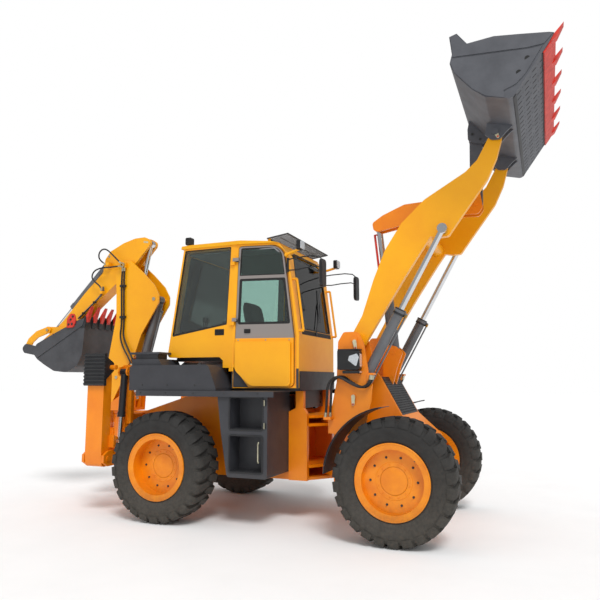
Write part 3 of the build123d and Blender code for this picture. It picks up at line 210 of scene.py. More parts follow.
class Shape:
    """Points in millimetres and faces collected for one piece."""

    def __init__(self):
        self.points = []
        self.faces = []

    def add(self, points, faces):
        start = len(self.points)
        self.points += [Vector(p) for p in points]
        self.faces += [[start + i for i in face] for face in faces]

    def prism(self, outline, depth):
        """A flat outline drawn out along a vector."""
        n = len(outline)
        top = [Vector(p) + Vector(depth) for p in outline]
        sides = [(i, (i + 1) % n, n + (i + 1) % n, n + i) for i in range(n)]
        self.add([*outline, *top], [tuple(range(n))[::-1], tuple(range(n, 2 * n)), *sides])

    def slab(self, y0, y1, outline):
        """A plate in a side view, between two places in y."""
        self.prism([(x, y0, z) for x, z in outline], (0, y1 - y0, 0))

    def both(self, y0, y1, outline):
        """The same plate on the right and on the left."""
        self.slab(y0, y1, outline)
        self.slab(-y1, -y0, outline)

    def block(self, x, y, z):
        self.slab(y[0], y[1], [(x[0], z[0]), (x[1], z[0]), (x[1], z[1]), (x[0], z[1])])

    def rod(self, start, end, radius, count=20, tip=None):
        """A round bar or cone from one point to another."""
        start, end = Vector(start), Vector(end)
        turn = Vector((0, 0, 1)).rotation_difference(end - start)
        ring = [turn @ Vector((cos(2 * pi * i / count), sin(2 * pi * i / count), 0)) for i in range(count)]
        last = radius if tip is None else tip
        sides = [(i, (i + 1) % count, count + (i + 1) % count, count + i) for i in range(count)]
        ends = [tuple(range(count))[::-1], tuple(range(count, 2 * count))]
        self.add([start + r * radius for r in ring] + [end + r * last for r in ring], [*sides, *ends])

    def bolt(self, at, way, size):
        """A hexagon head on its washer, with way pointing out of the surface."""
        at, way = Vector(at), Vector(way).normalized()
        self.rod(at - way * 2, at + way * size * 0.22, size * 1.05, 18)
        self.rod(at, at + way * size * 0.8, size * 0.82, 6)

    def lathe(self, profile, x, z, count=64):
        """A profile of (y, radius) turned round the axle line through x and z."""
        n = len(profile)
        points = []
        for i in range(count):
            a = 2 * pi * i / count
            points += [(x + r * cos(a), y, z + r * sin(a)) for y, r in profile]
        faces = [
            (i * n + k, i * n + k + 1, (i + 1) % count * n + k + 1, (i + 1) % count * n + k)
            for i in range(count) for k in range(n - 1)]
        self.add(points, faces)

    def pipe(self, path, radius, count=12):
        """A bent pipe of straight runs, its ring turned halfway at each corner."""
        path = [Vector(p) for p in path]
        rings = []
        across = None
        for i, p in enumerate(path):
            before = (p - path[i - 1]).normalized() if i else None
            after = (path[i + 1] - p).normalized() if i < len(path) - 1 else None
            way = (before or after) + (after or before)
            way.normalize()
            if across is None:
                across = way.orthogonal().normalized()
            across = (across - way * across.dot(way)).normalized()
            other = way.cross(across)
            rings.append([
                p + (across * cos(2 * pi * k / count) + other * sin(2 * pi * k / count)) * radius
                for k in range(count)])
        faces = [
            (i * count + k, i * count + (k + 1) % count,
             (i + 1) * count + (k + 1) % count, (i + 1) * count + k)
            for i in range(len(path) - 1) for k in range(count)]
        last = (len(path) - 1) * count
        ends = [tuple(range(count))[::-1], tuple(range(last, last + count))]
        self.add([p for ring in rings for p in ring], faces + ends)

    def ring(self, outer, inner, place):
        """A flat ring between two outlines of as many points, with place turning (a, b, k) into a point."""
        n = len(outer)
        points = [place(a, b, k) for k in (0, 1) for loop in (outer, inner) for a, b in loop]
        faces = []
        for i in range(n):
            j = (i + 1) % n
            faces += [
                (i, j, n + j, n + i), (2 * n + i, 3 * n + i, 3 * n + j, 2 * n + j),
                (i, 2 * n + i, 2 * n + j, j), (n + i, n + j, 3 * n + j, 3 * n + i)]
        self.add(points, faces)

    def sheet(self, outline, place):
        """A plate of any outline, with place turning (a, b, k) into a point on its back or front."""
        n = len(outline)
        sides = [(i, (i + 1) % n, n + (i + 1) % n, n + i) for i in range(n)]
        self.add(
            [place(a, b, k) for k in (0, 1) for a, b in outline],
            [tuple(range(n))[::-1], tuple(range(n, 2 * n)), *sides])

    def pillow(self, middle, along, across, up, pinch=0.35, count=14):
        """A crowned cushion from its middle and its three half lengths, its sides drawn in at half height."""
        middle, along, across, up = (Vector(v) for v in (middle, along, across, up))
        steps = [2 * i / count - 1 for i in range(count + 1)]
        index = {}
        for half in (1, -1):
            for i, a in enumerate(steps):
                for j, b in enumerate(steps):
                    edge = i in (0, count) or j in (0, count)
                    if edge and half < 0:
                        index[half, i, j] = index[1, i, j]
                        continue
                    index[half, i, j] = len(self.points)
                    crown = (1 - abs(a) ** 5) * (1 - abs(b) ** 5)
                    round_a = a * (1 - 0.06 * b ** 4)
                    round_b = b * (1 - 0.06 * a ** 4)
                    self.points.append(
                        middle + along * round_a + across * round_b + up * half * crown ** pinch)
        for half in (1, -1):
            for i in range(count):
                for j in range(count):
                    self.faces.append([
                        index[half, i, j], index[half, i + 1, j],
                        index[half, i + 1, j + 1], index[half, i, j + 1]])

    def make(self, name, material, body, slot, bevel=0.0, smooth=35):
        """The piece itself, in metres in the frame, riding on its body."""
        mesh = bpy.data.meshes.new(name)
        mesh.from_pydata([((p.x + MID) * MM, p.y * MM, p.z * MM) for p in self.points], [], self.faces)
        work = bmesh.new()
        work.from_mesh(mesh)
        bmesh.ops.recalc_face_normals(work, faces=work.faces)
        work.to_mesh(mesh)
        work.free()
        for face in mesh.polygons:
            face.use_smooth = True
        mesh.set_sharp_from_angle(angle=radians(smooth))
        mesh.materials.append(material)
        piece = bpy.data.objects.new(name, mesh)
        bpy.context.scene.collection.objects.link(piece)
        if bevel:
            rounding = piece.modifiers.new("edge_rounding", "BEVEL")
            rounding.width = bevel * MM
            rounding.segments = 2
            rounding.limit_method = "ANGLE"
            rounding.angle_limit = radians(40)
            piece.modifiers.new("even_shading", "WEIGHTED_NORMAL").keep_sharp = True
        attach(piece, body)
        return piece


def rounded(points, steps=5):
    """An outline from a table of two coordinates and a corner radius."""
    made = []
    count = len(points)
    for i, (a, b, r) in enumerate(points):
        corner = Vector((a, b))
        if r == 0:
            made.append((a, b))
            continue
        before = (Vector(points[i - 1][:2]) - corner).normalized()
        after = (Vector(points[(i + 1) % count][:2]) - corner).normalized()
        half = before.angle(after) / 2
        reach = r / abs(sin(half) / cos(half))
        middle = corner + (before + after).normalized() * (r / sin(half))
        first = corner + before * reach - middle
        last = corner + after * reach - middle
        turn = first.angle_signed(last)
        for k in range(steps + 1):
            a2 = -turn * k / steps
            made.append((
                middle.x + first.x * cos(a2) - first.y * sin(a2),
                middle.y + first.x * sin(a2) + first.y * cos(a2)))
    return made


# Tyres: bars from the middle of the tread over the shoulder and down the wall, set alternately
LUGS = 26
LUG_FLARE = 1.18
LUG_ROWS = (
    # distance from the middle, outer radius, inner radius, how far along, half width
    (-18, 583, 556, 0.06, 0.20),
    (30, 583, 556, 0.02, 0.26),
    (95, 583, 556, -0.10, 0.29),
    (150, 580, 552, -0.18, 0.31),
    (178, 570, 540, -0.22, 0.33),
    (197, 548, 520, -0.23, 0.34),
    (204.5, 516, 500, -0.23, 0.33),
)
TYRE_WALL = (
    (-150, 305.3), (-160, 345), (-164, 362), (-172, 366), (-177, 374), (-181, 388), (-183, 392), (-184, 404),
    (-190, 416), (-197, 440), (-200, 470), (-199, 500), (-190, 524), (-172, 544), (-140, 553), (-60, 557),
    (0, 558))
COVER_BOLT_CIRCLE = 150
NUT_CIRCLE = 222
VALVE_CIRCLE = 286
VALVE_TURN = 0.75
for name, x, side, recess in WHEELS:
    tyre = Shape()
    half = [(side * HALF_TRACK + y, r) for y, r in TYRE_WALL]
    other = [(side * HALF_TRACK - y, r) for y, r in TYRE_WALL[-2::-1]]
    tyre.lathe(half + other + [half[0]], x, TYRE_R, 104)
    pitch = 2 * pi / LUGS
    for hand in (-1, 1):
        for i in range(LUGS):
            middle = (i + (0.25 if hand > 0 else -0.25)) * pitch
            points = []
            for y, top, bottom, along, width in LUG_ROWS:
                foot = width * LUG_FLARE
                for radius, angle in (
                        (top, along - width), (top, along + width),
                        (bottom, along + foot), (bottom, along - foot)):
                    a = middle + angle * pitch
                    points.append((
                        x + radius * cos(a), side * HALF_TRACK + hand * y, TYRE_R + radius * sin(a)))
            rows = len(LUG_ROWS)
            faces = [
                (4 * r + k, 4 * r + (k + 1) % 4, 4 * r + 4 + (k + 1) % 4, 4 * r + 4 + k)
                for r in range(rows - 1) for k in range(4)]
            tyre.add(points, faces + [(0, 1, 2, 3), tuple(4 * rows - 4 + k for k in (3, 2, 1, 0))])
    piece = tyre.make(f"tyre_tread_{name}", rubber, f"wheel_{name}", "tyre", smooth=40)
    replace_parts(piece, f"tyre_{name}")

    # Rings turned on the rim's flange, the hub's grooved face with its bolts, the wheel nuts and the valve
    face = side * (HALF_TRACK + RIM_HALF - recess)
    lip = side * (HALF_TRACK + RIM_HALF)
    out = Vector((0, side, 0))
    hub = Shape()
    for start, profile, count in (
            (lip, ((-3, 353), (2, 350), (2, 341), (-2, 338)), 72),
            (lip, ((-26, 293), (-16, 301), (-19, 310), (-24, 306)), 72),
            (face, ((-10, 176.5), (-2, 176), (3, 170), (3, 134), (0, 131), (0, 125), (3, 122), (4, 88),
                    (7, 82), (8, 0.5)), 56)):
        hub.lathe([(start + side * y, r) for y, r in profile], x, TYRE_R, count)
    for i in range(12):
        a = 2 * pi * (i + 0.5) / 12
        at = (x + COVER_BOLT_CIRCLE * cos(a), face + side * 2, TYRE_R + COVER_BOLT_CIRCLE * sin(a))
        hub.bolt(at, out, 8)
    hub.make(f"hub_cover_{name}", rim_paint, f"wheel_{name}", "orange", 2)
    nuts = Shape()
    for i in range(10):
        a = 2 * pi * i / 10
        stud = Vector((x + NUT_CIRCLE * cos(a), face, TYRE_R + NUT_CIRCLE * sin(a)))
        nuts.bolt(stud, out, 11)
        nuts.rod(stud, stud + out * 14, 6, 12)
    valve = Vector((
        x + VALVE_CIRCLE * cos(VALVE_TURN), lip - side * 60, TYRE_R + VALVE_CIRCLE * sin(VALVE_TURN)))
    nuts.rod(valve, valve + Vector((0, side * 45, 0)), 6, 10)
    nuts.make(f"wheel_nuts_{name}", casting, f"wheel_{name}", "cast")


def inset(points, d):
    """A convex table of two coordinates and a corner radius, drawn in by d."""
    made = []
    for i, (a, b, r) in enumerate(points):
        corner = Vector((a, b))
        before = (Vector(points[i - 1][:2]) - corner).normalized()
        after = (Vector(points[(i + 1) % len(points)][:2]) - corner).normalized()
        half = before.angle(after) / 2
        moved = corner + (before + after).normalized() * (d / sin(half))
        made.append((moved.x, moved.y, max(r - d, 2)))
    return made


# Cab: the side walls draw in towards the nose, and what lies on them is placed by its depth from them
CAB_HALF = 700
WALL_BEND = -600
WALL_SLOPE = 130 / 760
DOOR = [(-586, 1424, 2), (-538, 3008, 40), (-27, 3008, 170), (95, 1980, 2), (95, 1424, 60)]
DOOR_HOLE = [(-586, 1424, 2), (-538, 3008, 40), (-1, 3008, 170), (121, 1980, 2), (121, 1424, 60)]
UPPER_PANE = [(-525, 2667, 10), (-510, 2984, 20), (-50, 2984, 130), (-8, 2667, 10)]
LOWER_PANE = [(-539, 2118, 20), (-523, 2633, 20), (-4, 2633, 20), (55, 2118, 20)]
REAR_PANE = [(-1392, 2000, 15), (-1240, 3008, 15), (-628, 3008, 15), (-672, 2122, 15)]
WINDSCREEN = [(-480, 2062, 30), (-460, 2930, 60), (460, 2930, 60), (480, 2062, 30)]
RUBBER_W = 26


def on_wall(side, low, high):
    """Places a point of a side view on the cab's wall, from low to high outside it."""
    def place(x, z, k):
        bend = max(x - WALL_BEND, 0) * WALL_SLOPE
        return (x, side * (CAB_HALF - bend + (high if k else low)), z)
    return place


def on_windscreen(low, high):
    """Places a point of a front view on the windscreen's plane."""
    def place(y, z, k):
        lean = (150, 2000) if z < 2400 else (98, 2400)
        slope = 54 / 400 if z < 2400 else 42 / 312
        return (lean[0] - (z - lean[1]) * slope + (high if k else low), y, z)
    return place


# A smoked film is even and dark; turned brass keeps fine, bright tool marks
dark_pane = finish("sun_strip_dark_film", "#343830", "#2B2E28", 200, 0.3, 4, 0.1)
brass = finish("brass_fitting_turned", "#B58B3C", "#9C7430", 12, 0.34, 2, 0.1, metallic=0.9)
for hand, side in SIDES:
    # The wall is black below the cab's lower line, on the door's corner and before and behind the door
    corner = Shape()
    corner.sheet([(-581, 1429), (-581, 1648), (-410, 1429)], on_wall(side, 0.4, 2))
    corner.make(f"door_corner_cover_{hand}", charcoal, f"{hand}_door", "charcoal")
    sills = Shape()
    sills.sheet([(-601, 1420), (-601, 1636), (-588, 1636), (-588, 1420)], on_wall(side, 0.4, 2))
    sills.sheet([(122, 1420), (122, 1628), (149, 1628), (149, 1420)], on_wall(side, 0.4, 2))
    sills.make(f"sill_covers_{hand}", charcoal, "chassis", "charcoal")
    rebate = Shape()
    rebate.ring(rounded(DOOR_HOLE), rounded(inset(DOOR, 4)), on_wall(side, -38, -31))
    rebate.make(f"door_rebate_{hand}", yellow, "chassis", "yellow")
    door_seal = Shape()
    door_seal.ring(rounded(inset(DOOR, 2)), rounded(inset(DOOR, 20)), on_wall(side, -38, -28))
    door_seal.ring(rounded(inset(REAR_PANE, 0)), rounded(inset(REAR_PANE, 9)), on_wall(side, -9.5, -2))
    door_seal.sheet([(-1388, 2002), (-1383, 2026), (-674, 2143), (-675, 2122)], on_wall(side, -9.5, -3))
    door_seal.make(f"cab_side_seals_{hand}", black_seal_and_shade, "chassis", "black_plastic")

    rubbers = Shape()
    rubbers.ring(rounded(LOWER_PANE), rounded(inset(LOWER_PANE, RUBBER_W)), on_wall(side, -9.5, -3))
    rubbers.ring(rounded(UPPER_PANE), rounded(inset(UPPER_PANE, 11)), on_wall(side, -9.5, -3))
    rubbers.make(f"door_pane_rubbers_{hand}", black_seal_and_shade, f"{hand}_door", "black_plastic")
    film = Shape()
    film.sheet([(-515, 2675), (-506, 2905), (-30, 2905), (-16, 2675)], on_wall(side, -24, -21))
    film.make(f"door_dark_pane_{hand}", dark_pane, f"{hand}_door", "black_plastic")
    latch = Shape()
    latch.sheet(
        rounded([(-462, 2020, 8), (-462, 2066, 8), (-392, 2066, 8), (-392, 2020, 8)]), on_wall(side, -1, 9))
    latch.sheet([(-452, 2036), (-452, 2050), (-400, 2050), (-400, 2036)], on_wall(side, 9, 22))
    for z in (2150, 2830):
        latch.sheet([(-556, z - 8), (-556, z + 24), (-526, z + 24), (-526, z - 8)], on_wall(side, 24, 30))
    latch.make(f"door_latch_{hand}", plastic, f"{hand}_door", "black_plastic", 2)
    screws = Shape()
    for x in (-530, -219, 44):
        at = on_wall(side, -1, 3)(x, 1943, 0)
        screws.rod(at, (at[0], at[1] + side * 5, at[2]), 8, 14)
    screws.make(f"door_screws_{hand}", zinc, f"{hand}_door", "cast")

    vent = Shape()
    vent.sheet(
        rounded([(-823, 2004, 6), (-823, 2073, 6), (-705, 2073, 6), (-705, 2004, 6)]), on_wall(side, -1, 4))
    for i in range(5):
        z = 2014 + 12 * i
        vent.sheet([(-813, z), (-815, z + 5), (-715, z + 5), (-713, z)], on_wall(side, 4, 9))
    vent.make(f"wall_vent_{hand}", plastic, "chassis", "black_plastic", 1)

    inside = Shape()
    inside.sheet([(-672, 1900), (-640, 2990), (-550, 2990), (-592, 1900)], on_wall(side, -48, -42))
    inside.sheet([(-1420, 1860), (-1390, 2000), (-672, 2110), (-672, 1860)], on_wall(side, -48, -42))
    inside.make(f"pillar_lining_{hand}", lining, "chassis", "trim", 2)

ceiling = Shape()
ceiling.slab(-640, 640, [(-1235, 2962), (-1235, 2974), (-120, 2974), (-60, 2925), (-72, 2915), (-126, 2962)])
ceiling.make("ceiling_lining", lining, "chassis", "trim", 4)

screen = Shape()
screen.ring(rounded(WINDSCREEN), rounded(inset(WINDSCREEN, 16)), on_windscreen(-8, 2))
screen.sheet([(-478, 2058), (-478, 2006), (478, 2006), (478, 2058)], on_windscreen(0.5, 3))
screen.make("windscreen_rubber", black_seal_and_shade, "chassis", "black_plastic")
wiper = Shape()
wiper.rod(on_windscreen(0, 8)(-40, 2040, 1), on_windscreen(0, 14)(210, 2420, 1), 6, 10)
wiper.rod(on_windscreen(0, 6)(150, 2190, 1), on_windscreen(0, 6)(262, 2600, 1), 7, 8)
wiper.rod(on_windscreen(0, 0)(-40, 2040, 1), on_windscreen(0, 16)(-40, 2040, 1), 20, 20)
wiper.make("windscreen_wiper", black_paint, "chassis", "black_plastic")

# Seat, wheel and levers
cushion = Shape()
cushion.pillow((-380, 0, 1872), (220, 0, 12), (0, 240, 0), (0, 0, 52))
cushion.make("seat_cushion", vinyl, "chassis", "trim", smooth=80)
back = Shape()
back.pillow((-660, 0, 2180), (-58, 0, 262), (0, 225, 0), (48, 0, 10))
back.make("seat_back", vinyl, "chassis", "trim", smooth=80)
base = Shape()
base.block((-540, -290), (-170, 170), (1420, 1600))
base.block((-520, -310), (-110, 110), (1600, 1790))
base.block((-590, -190), (-205, 205), (1790, 1818))
base.slab(-30, 30, [(-600, 1800), (-560, 1800), (-640, 2120), (-676, 2110)])
base.block((-30, 96), (-180, 180), (1420, 1700))
base.slab(-180, 180, [(-30, 1700), (96, 1700), (96, 1985), (10, 1985), (-30, 1850)])
base.block((-1300, -1180), (160, 320), (1802, 2010))
base.block((-1300, -1180), (-320, -160), (1802, 2010))
base.make("seat_base_and_consoles", plastic, "chassis", "black_plastic", 8)
wheel = Shape()
tilt = Vector((-0.39, 0, 0.92))
level = Vector((0.92, 0, 0.39))
hub_at = Vector((-125, 0, 2085))
grip = [
    hub_at + (level * cos(2 * pi * i / 40) + Vector((0, 1, 0)) * sin(2 * pi * i / 40)) * 190
    for i in range(41)]
wheel.pipe(grip, 14, 12)
for turn in (90, 210, 330):
    arm_way = level * cos(radians(turn)) + Vector((0, 1, 0)) * sin(radians(turn))
    wheel.rod(hub_at - tilt * 12, hub_at + arm_way * 182, 9, 10)
wheel.rod(hub_at - tilt * 40, hub_at + tilt * 10, 38, 24)
wheel.rod((40, 0, 1840), hub_at - tilt * 30, 26, 18)
for y in (-270, -215, 215, 270):
    wheel.rod((-1240, y, 2000), (-1228, y, 2215), 6, 10)
    wheel.rod((-1229, y, 2205), (-1225, y, 2262), 17, 16)
for y in (-250, -290):
    wheel.rod((-250, y, 1900), (-190, y, 2140), 7, 10)
    wheel.rod((-192, y, 2130), (-180, y, 2185), 19, 16)
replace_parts(wheel.make("wheel_and_levers", plastic, "chassis", "black_plastic", 0, 50), "seat_and_controls")

# Mirrors on wire loops, lamps and the wire guard over the windscreen
MIRROR_Y = 620
wires = Shape()
heads = Shape()
mirror_glass = Shape()
stalks = Shape()
lamp_bodies = Shape()
lamp_lenses = Shape()


def upright(x0, x1, y, z, half_w, half_h, corner):
    """A rounded plate across the machine, as an outline and the way it is drawn out."""
    table = [
        (y - half_w, z - half_h, corner), (y + half_w, z - half_h, corner),
        (y + half_w, z + half_h, corner), (y - half_w, z + half_h, corner)]
    return [(x0, a, b) for a, b in rounded(table)], (x1 - x0, 0, 0)


for _, side in SIDES:
    loop = [
        (20, side * 590, 2830), (120, side * 600, 2842), (300, side * 612, 2850), (400, side * 618, 2836),
        (450, side * MIRROR_Y, 2790), (450, side * MIRROR_Y, 2700), (380, side * 614, 2728),
        (250, side * 604, 2722), (120, side * 598, 2708), (20, side * 590, 2712)]
    wires.pipe(loop, 7)
    wires.block((14, 40), (side * 590 - 14, side * 590 + 14), (2690, 2850))
    heads.prism(*upright(430, 466, side * MIRROR_Y, 2648, 70, 150, 40))
    mirror_glass.prism(*upright(427, 430.5, side * MIRROR_Y, 2648, 60, 138, 34))
    stalks.rod((4, side * 596, 2888), (176, side * 620, 2934), 15, 16)
    stalks.rod((2, side * 590, 2880), (18, side * 602, 2892), 24, 16)
    stalks.block((-202, -176), (side * 620 - 16, side * 620 + 16), (3052, 3086))
    lamp_bodies.prism(*upright(160, 206, side * 620, 2976, 60, 54, 22))
    lamp_lenses.prism(*upright(206, 218, side * 620, 2976, 52, 46, 20))
    lamp_bodies.rod((-1250, side * 590, 3062), (-1250, side * 590, 3102), 15, 16)
    lamp_bodies.prism(*upright(-1284, -1222, side * 590, 3143, 50, 46, 18))
    lamp_lenses.prism(*upright(-1290, -1284, side * 590, 3143, 43, 39, 16))
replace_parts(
    wires.make("mirror_wire_loops", black_paint, "chassis", "black_plastic", 0, 50),
    "mirrors_lamps_and_guard")
heads.make("mirror_heads", plastic, "chassis", "black_plastic", 6)
mirror_glass.make("mirror_glasses", chrome, "chassis", "chrome_rod")
stalks.make("lamp_stalks_and_brackets", yellow, "chassis", "yellow", 2)
lamp_bodies.make("work_lamp_bodies", plastic, "chassis", "black_plastic", 5)
lamp_lenses.make("work_lamp_lenses", reflector, "chassis", "glass", 2)

GUARD_BACK = (-200, 3079)
GUARD_FRONT = (50, 3114)
GUARD_HALF = 650
mesh_guard = Shape()
ends = [Vector((x, 0, z)) for x, z in (GUARD_BACK, GUARD_FRONT)]
rim_path = [
    ends[k] + Vector((0, y, 0))
    for k, y in ((0, -GUARD_HALF), (1, -GUARD_HALF), (1, GUARD_HALF), (0, GUARD_HALF))]
for one, other in zip(rim_path, rim_path[1:] + rim_path[:1]):
    mesh_guard.rod(one, other, 8, 10)
centre = (ends[0] + ends[1]) / 2
mesh_guard.rod(centre - Vector((0, GUARD_HALF, 0)), centre + Vector((0, GUARD_HALF, 0)), 5, 8)
WIRE_GAP = 22
WIRE_R = 2.6
for i in range(1, 2 * GUARD_HALF // WIRE_GAP + 1):
    y = Vector((0, -GUARD_HALF + WIRE_GAP * i, 0))
    mesh_guard.rod(ends[0] + y, ends[1] + y, WIRE_R, 5)
for i in range(1, 12):
    at = ends[0] + (ends[1] - ends[0]) * (i / 12)
    mesh_guard.rod(at - Vector((0, GUARD_HALF, 0)), at + Vector((0, GUARD_HALF, 0)), WIRE_R, 5)
mesh_guard.make("windscreen_mesh_guard", casting, "chassis", "black_plastic", 0, 60)

# Headlights: a dark housing with a lid, a lens round its outer front corner and a lamp below
TOWER_OUT = 665.3
HOUSING_OUT = 762
housings = Shape()
lenses = Shape()
for _, side in SIDES:
    inner, outer = sorted((side * TOWER_OUT, side * HOUSING_OUT))
    housings.slab(inner, outer, rounded([(650, 1608, 16), (884, 1608, 20), (888, 1800, 16), (650, 1815, 20)]))
    housings.slab(inner, outer, [(655, 1806), (655, 1819), (889, 1819), (889, 1806)])
    housings.slab(inner, outer, rounded([(706, 1571, 8), (884, 1571, 8), (884, 1600, 8), (706, 1600, 8)]))
    near, far = sorted((side * HOUSING_OUT, side * (HOUSING_OUT + 6)))
    lenses.slab(near, far, rounded([
        (779, 1747, 10), (768, 1703, 10), (853, 1640, 10), (883, 1736, 10), (862, 1772, 10)]))
    lenses.prism(*upright(886, 889.5, side * 714, 1704, 40, 66, 16))
    lenses.prism(*upright(884, 888, side * 714, 1586, 40, 10, 6))
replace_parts(housings.make("headlight_housings", plastic, "front_part", "black_plastic", 4), "headlights")
lenses.make("headlight_lenses", reflector, "front_part", "glass", 2)

# Nose: a chequered tread strip down the slope in front of the tilt cylinder
NOSE_TOP = Vector((1018, 0, 1538))
NOSE_FOOT = Vector((1232, 0, 1146))
NOSE_HALF = 390
down = (NOSE_FOOT - NOSE_TOP).normalized()
out = Vector((-down.z, 0, down.x))
nose = Shape()
run = (NOSE_FOOT - NOSE_TOP).length
nose_side = Vector((0, NOSE_HALF, 0))
plate = [NOSE_TOP - nose_side, NOSE_FOOT - nose_side, NOSE_FOOT + nose_side, NOSE_TOP + nose_side]
nose.prism([p + out * 0.4 for p in plate], out * 2.6)
CHEQUER = 27
for i in range(int(run // CHEQUER)):
    for j in range(int(2 * NOSE_HALF // CHEQUER)):
        middle = NOSE_TOP + down * (CHEQUER * (i + 0.5)) + out * 3
        middle.y += CHEQUER * (j + 0.5) - NOSE_HALF
        lean = 1 if (i + j) % 2 else -1
        long = (down + Vector((0, lean, 0))).normalized() * 11
        wide = (down - Vector((0, lean, 0))).normalized() * 3.5
        nose.prism([middle - long, middle - wide, middle + long, middle + wide], out * 2)
nose.make("nose_chequer_strip", black_paint, "front_part", "charcoal")

# Oval lock plates that hold the pins: body, pin (x, z), tail (x, z), how far out the plate lies
LOCK_PLATES = (
    ("front_part", (812, 1897), (824, 1832), TOWER_OUT + 12),
    ("front_part", (792, 1337), (791, 1262), TOWER_OUT + 12),
    ("front_bucket", (2270, 3977), (2292, 3922), 547),
    ("arms", (1722, 3025), (1700, 3062), 533),
)


def capsule(one, other, r0, r1, count=10):
    """A round-ended outline in a side view, between two centres."""
    way = Vector((other[0] - one[0], other[1] - one[1]))
    start = way.angle_signed(Vector((1, 0)))
    points = []
    for centre, radius, first in ((other, r1, -pi / 2), (one, r0, pi / 2)):
        for k in range(count + 1):
            a = start + first + pi * k / count
            points.append((centre[0] + radius * cos(a), centre[1] + radius * sin(a)))
    return points


for number, (body, pin, tail, y) in enumerate(LOCK_PLATES):
    plates = Shape()
    dots = Shape()
    for side in (-1, 1):
        near, far = sorted((side * y, side * (y + 7)))
        plates.slab(near, far, capsule(pin, tail, 21, 15))
        dots.rod((tail[0], side * (y + 6), tail[1]), (tail[0], side * (y + 13), tail[1]), 9, 14)
    plates.make(f"pin_lock_plates_{number}", cream, body, "cast", 2)
    dots.make(f"lock_plate_bolts_{number}", red_paint, body, "red", 1)

# Bright pin ends on the digger: body, pin (x, z), radius, how far out the pin's end lies
PIN_ENDS = (
    ("boom_body", (-2075, 2555), 24, 134), ("boom_body", (-2630, 1540), 22, 134),
    ("dipper_body", (-2860, 3185), 18, 88), ("digging_bucket", (-3980, 1900), 24, 175),
    ("lever_body", (-3835, 2200), 18, 159), ("dipper_body", (-3600, 2190), 18, 129),
)
for number, (body, (x, z), radius, y) in enumerate(PIN_ENDS):
    pin_end = Shape()
    for side in (-1, 1):
        pin_end.rod((x, side * y, z), (x, side * (y + 7), z), radius, 24)
        pin_end.rod((x, side * (y + 7), z), (x, side * (y + 12), z), 7, 10)
    pin_end.make(f"pin_ends_{number}", zinc, body, "cast", 1.5)

# Hydraulic hoses: diameter and length in metres, then points (x, y, z) in millimetres
FRAME_ROUTES = (
    (0.026, 0.897, ((545, -690, 1131.6), (562, -698, 1330), (566, -704, 1490), (680, -706, 1560),
                    (800, -704, 1470), (905, -700, 1424), (985, -696, 1462), (1005, -692, 1552.8))),
    (0.026, 0.902, ((515, -740, 1131.6), (532, -744, 1330), (540, -746, 1470), (640, -748, 1556),
                    (790, -746, 1470), (895, -742, 1425), (980, -738, 1465), (998, -734, 1553))),
)
BOOM_ROUTES = (
    (0.022, 1.384, ((-2572, -157, 2994), (-2586, -155, 2900), (-2582, -152, 2670), (-2572, -150, 2440),
                    (-2562, -150, 2220), (-2582, -152, 2080), (-2520, -160, 1930), (-2400, -170, 1770),
                    (-2352, -172, 1670))),
    (0.022, 1.376, ((-2542, -157, 2994.6), (-2548, -155, 2900), (-2544, -152, 2670), (-2534, -150, 2440),
                    (-2524, -150, 2220), (-2532, -152, 2090), (-2450, -160, 1930), (-2350, -168, 1780),
                    (-2320, -170, 1668.3))),
)
DIPPER_ROUTES = (
    (0.020, 0.701, ((-2580, -185, 3048), (-2700, -183, 3155), (-2860, -180, 3290), (-2975, -174, 3240),
                    (-2970, -164, 3120), (-2854.8, -156, 3062))),
    (0.020, 0.802, ((-2584, -185, 3020), (-2740, -184, 3010), (-2900, -182, 3018), (-3040, -178, 2985),
                    (-3085, -172, 2890), (-3005, -164, 2815), (-2930, -158, 2762), (-2915, -156, 2702.8))),
)


def hose(name, body, diameter, length, route):
    """A hose as one smooth curve through its route, with a crimped steel end at each end."""
    points = [((x + MID) * MM, y * MM, z * MM) for x, y, z in route]
    line = bpy.data.curves.new(name, "CURVE")
    line.dimensions = "3D"
    line.bevel_depth = diameter / 2
    line.bevel_resolution = 4
    line.resolution_u = 16
    spline = line.splines.new("NURBS")
    spline.points.add(len(points) - 1)
    for point, at in zip(spline.points, points):
        point.co = (*at, 1)
    spline.order_u = 3
    spline.use_endpoint_u = True
    line.materials.append(hose_rubber)
    piece = bpy.data.objects.new(name, line)
    bpy.context.scene.collection.objects.link(piece)
    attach(piece, body)
    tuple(points[0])
    crimps = Shape()
    for one, other in ((route[0], route[1]), (route[-1], route[-2])):
        way = (Vector(other) - Vector(one)).normalized()
        crimps.rod(Vector(one) - way * 1.5, Vector(one) + way * 14, diameter / MM * 0.72, 6)
        crimps.rod(Vector(one) + way * 14, Vector(one) + way * 44, diameter / MM * 0.64, 16)
    crimps.make(name + "_ends", zinc, body, "cast", 0.8)
    return piece


for node, body, routes, sides in (
        ("frame_hoses", "front_part", FRAME_ROUTES, (-1, 1)), ("boom_hoses", "boom_body", BOOM_ROUTES, (-1,)),
        ("dipper_hoses", "dipper_body", DIPPER_ROUTES, (-1,))):
    for side in sides:
        for number, (diameter, length, route) in enumerate(routes):
            label = "right" if side < 0 else "left"
            route = [(x, -side * y, z) for x, y, z in route]
            piece = hose(f"{node}_{label}_{number}", body, diameter, length, route)
            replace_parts(piece, node)
swivel = Shape()
swivel.rod((-2560, -197, 3030), (-2560, -173, 3030), 34, 28)
swivel.rod((-2560, -204, 3030), (-2560, -197, 3030), 16, 6)
swivel.make("hose_swivel", zinc, "dipper_body", "cast", 2)
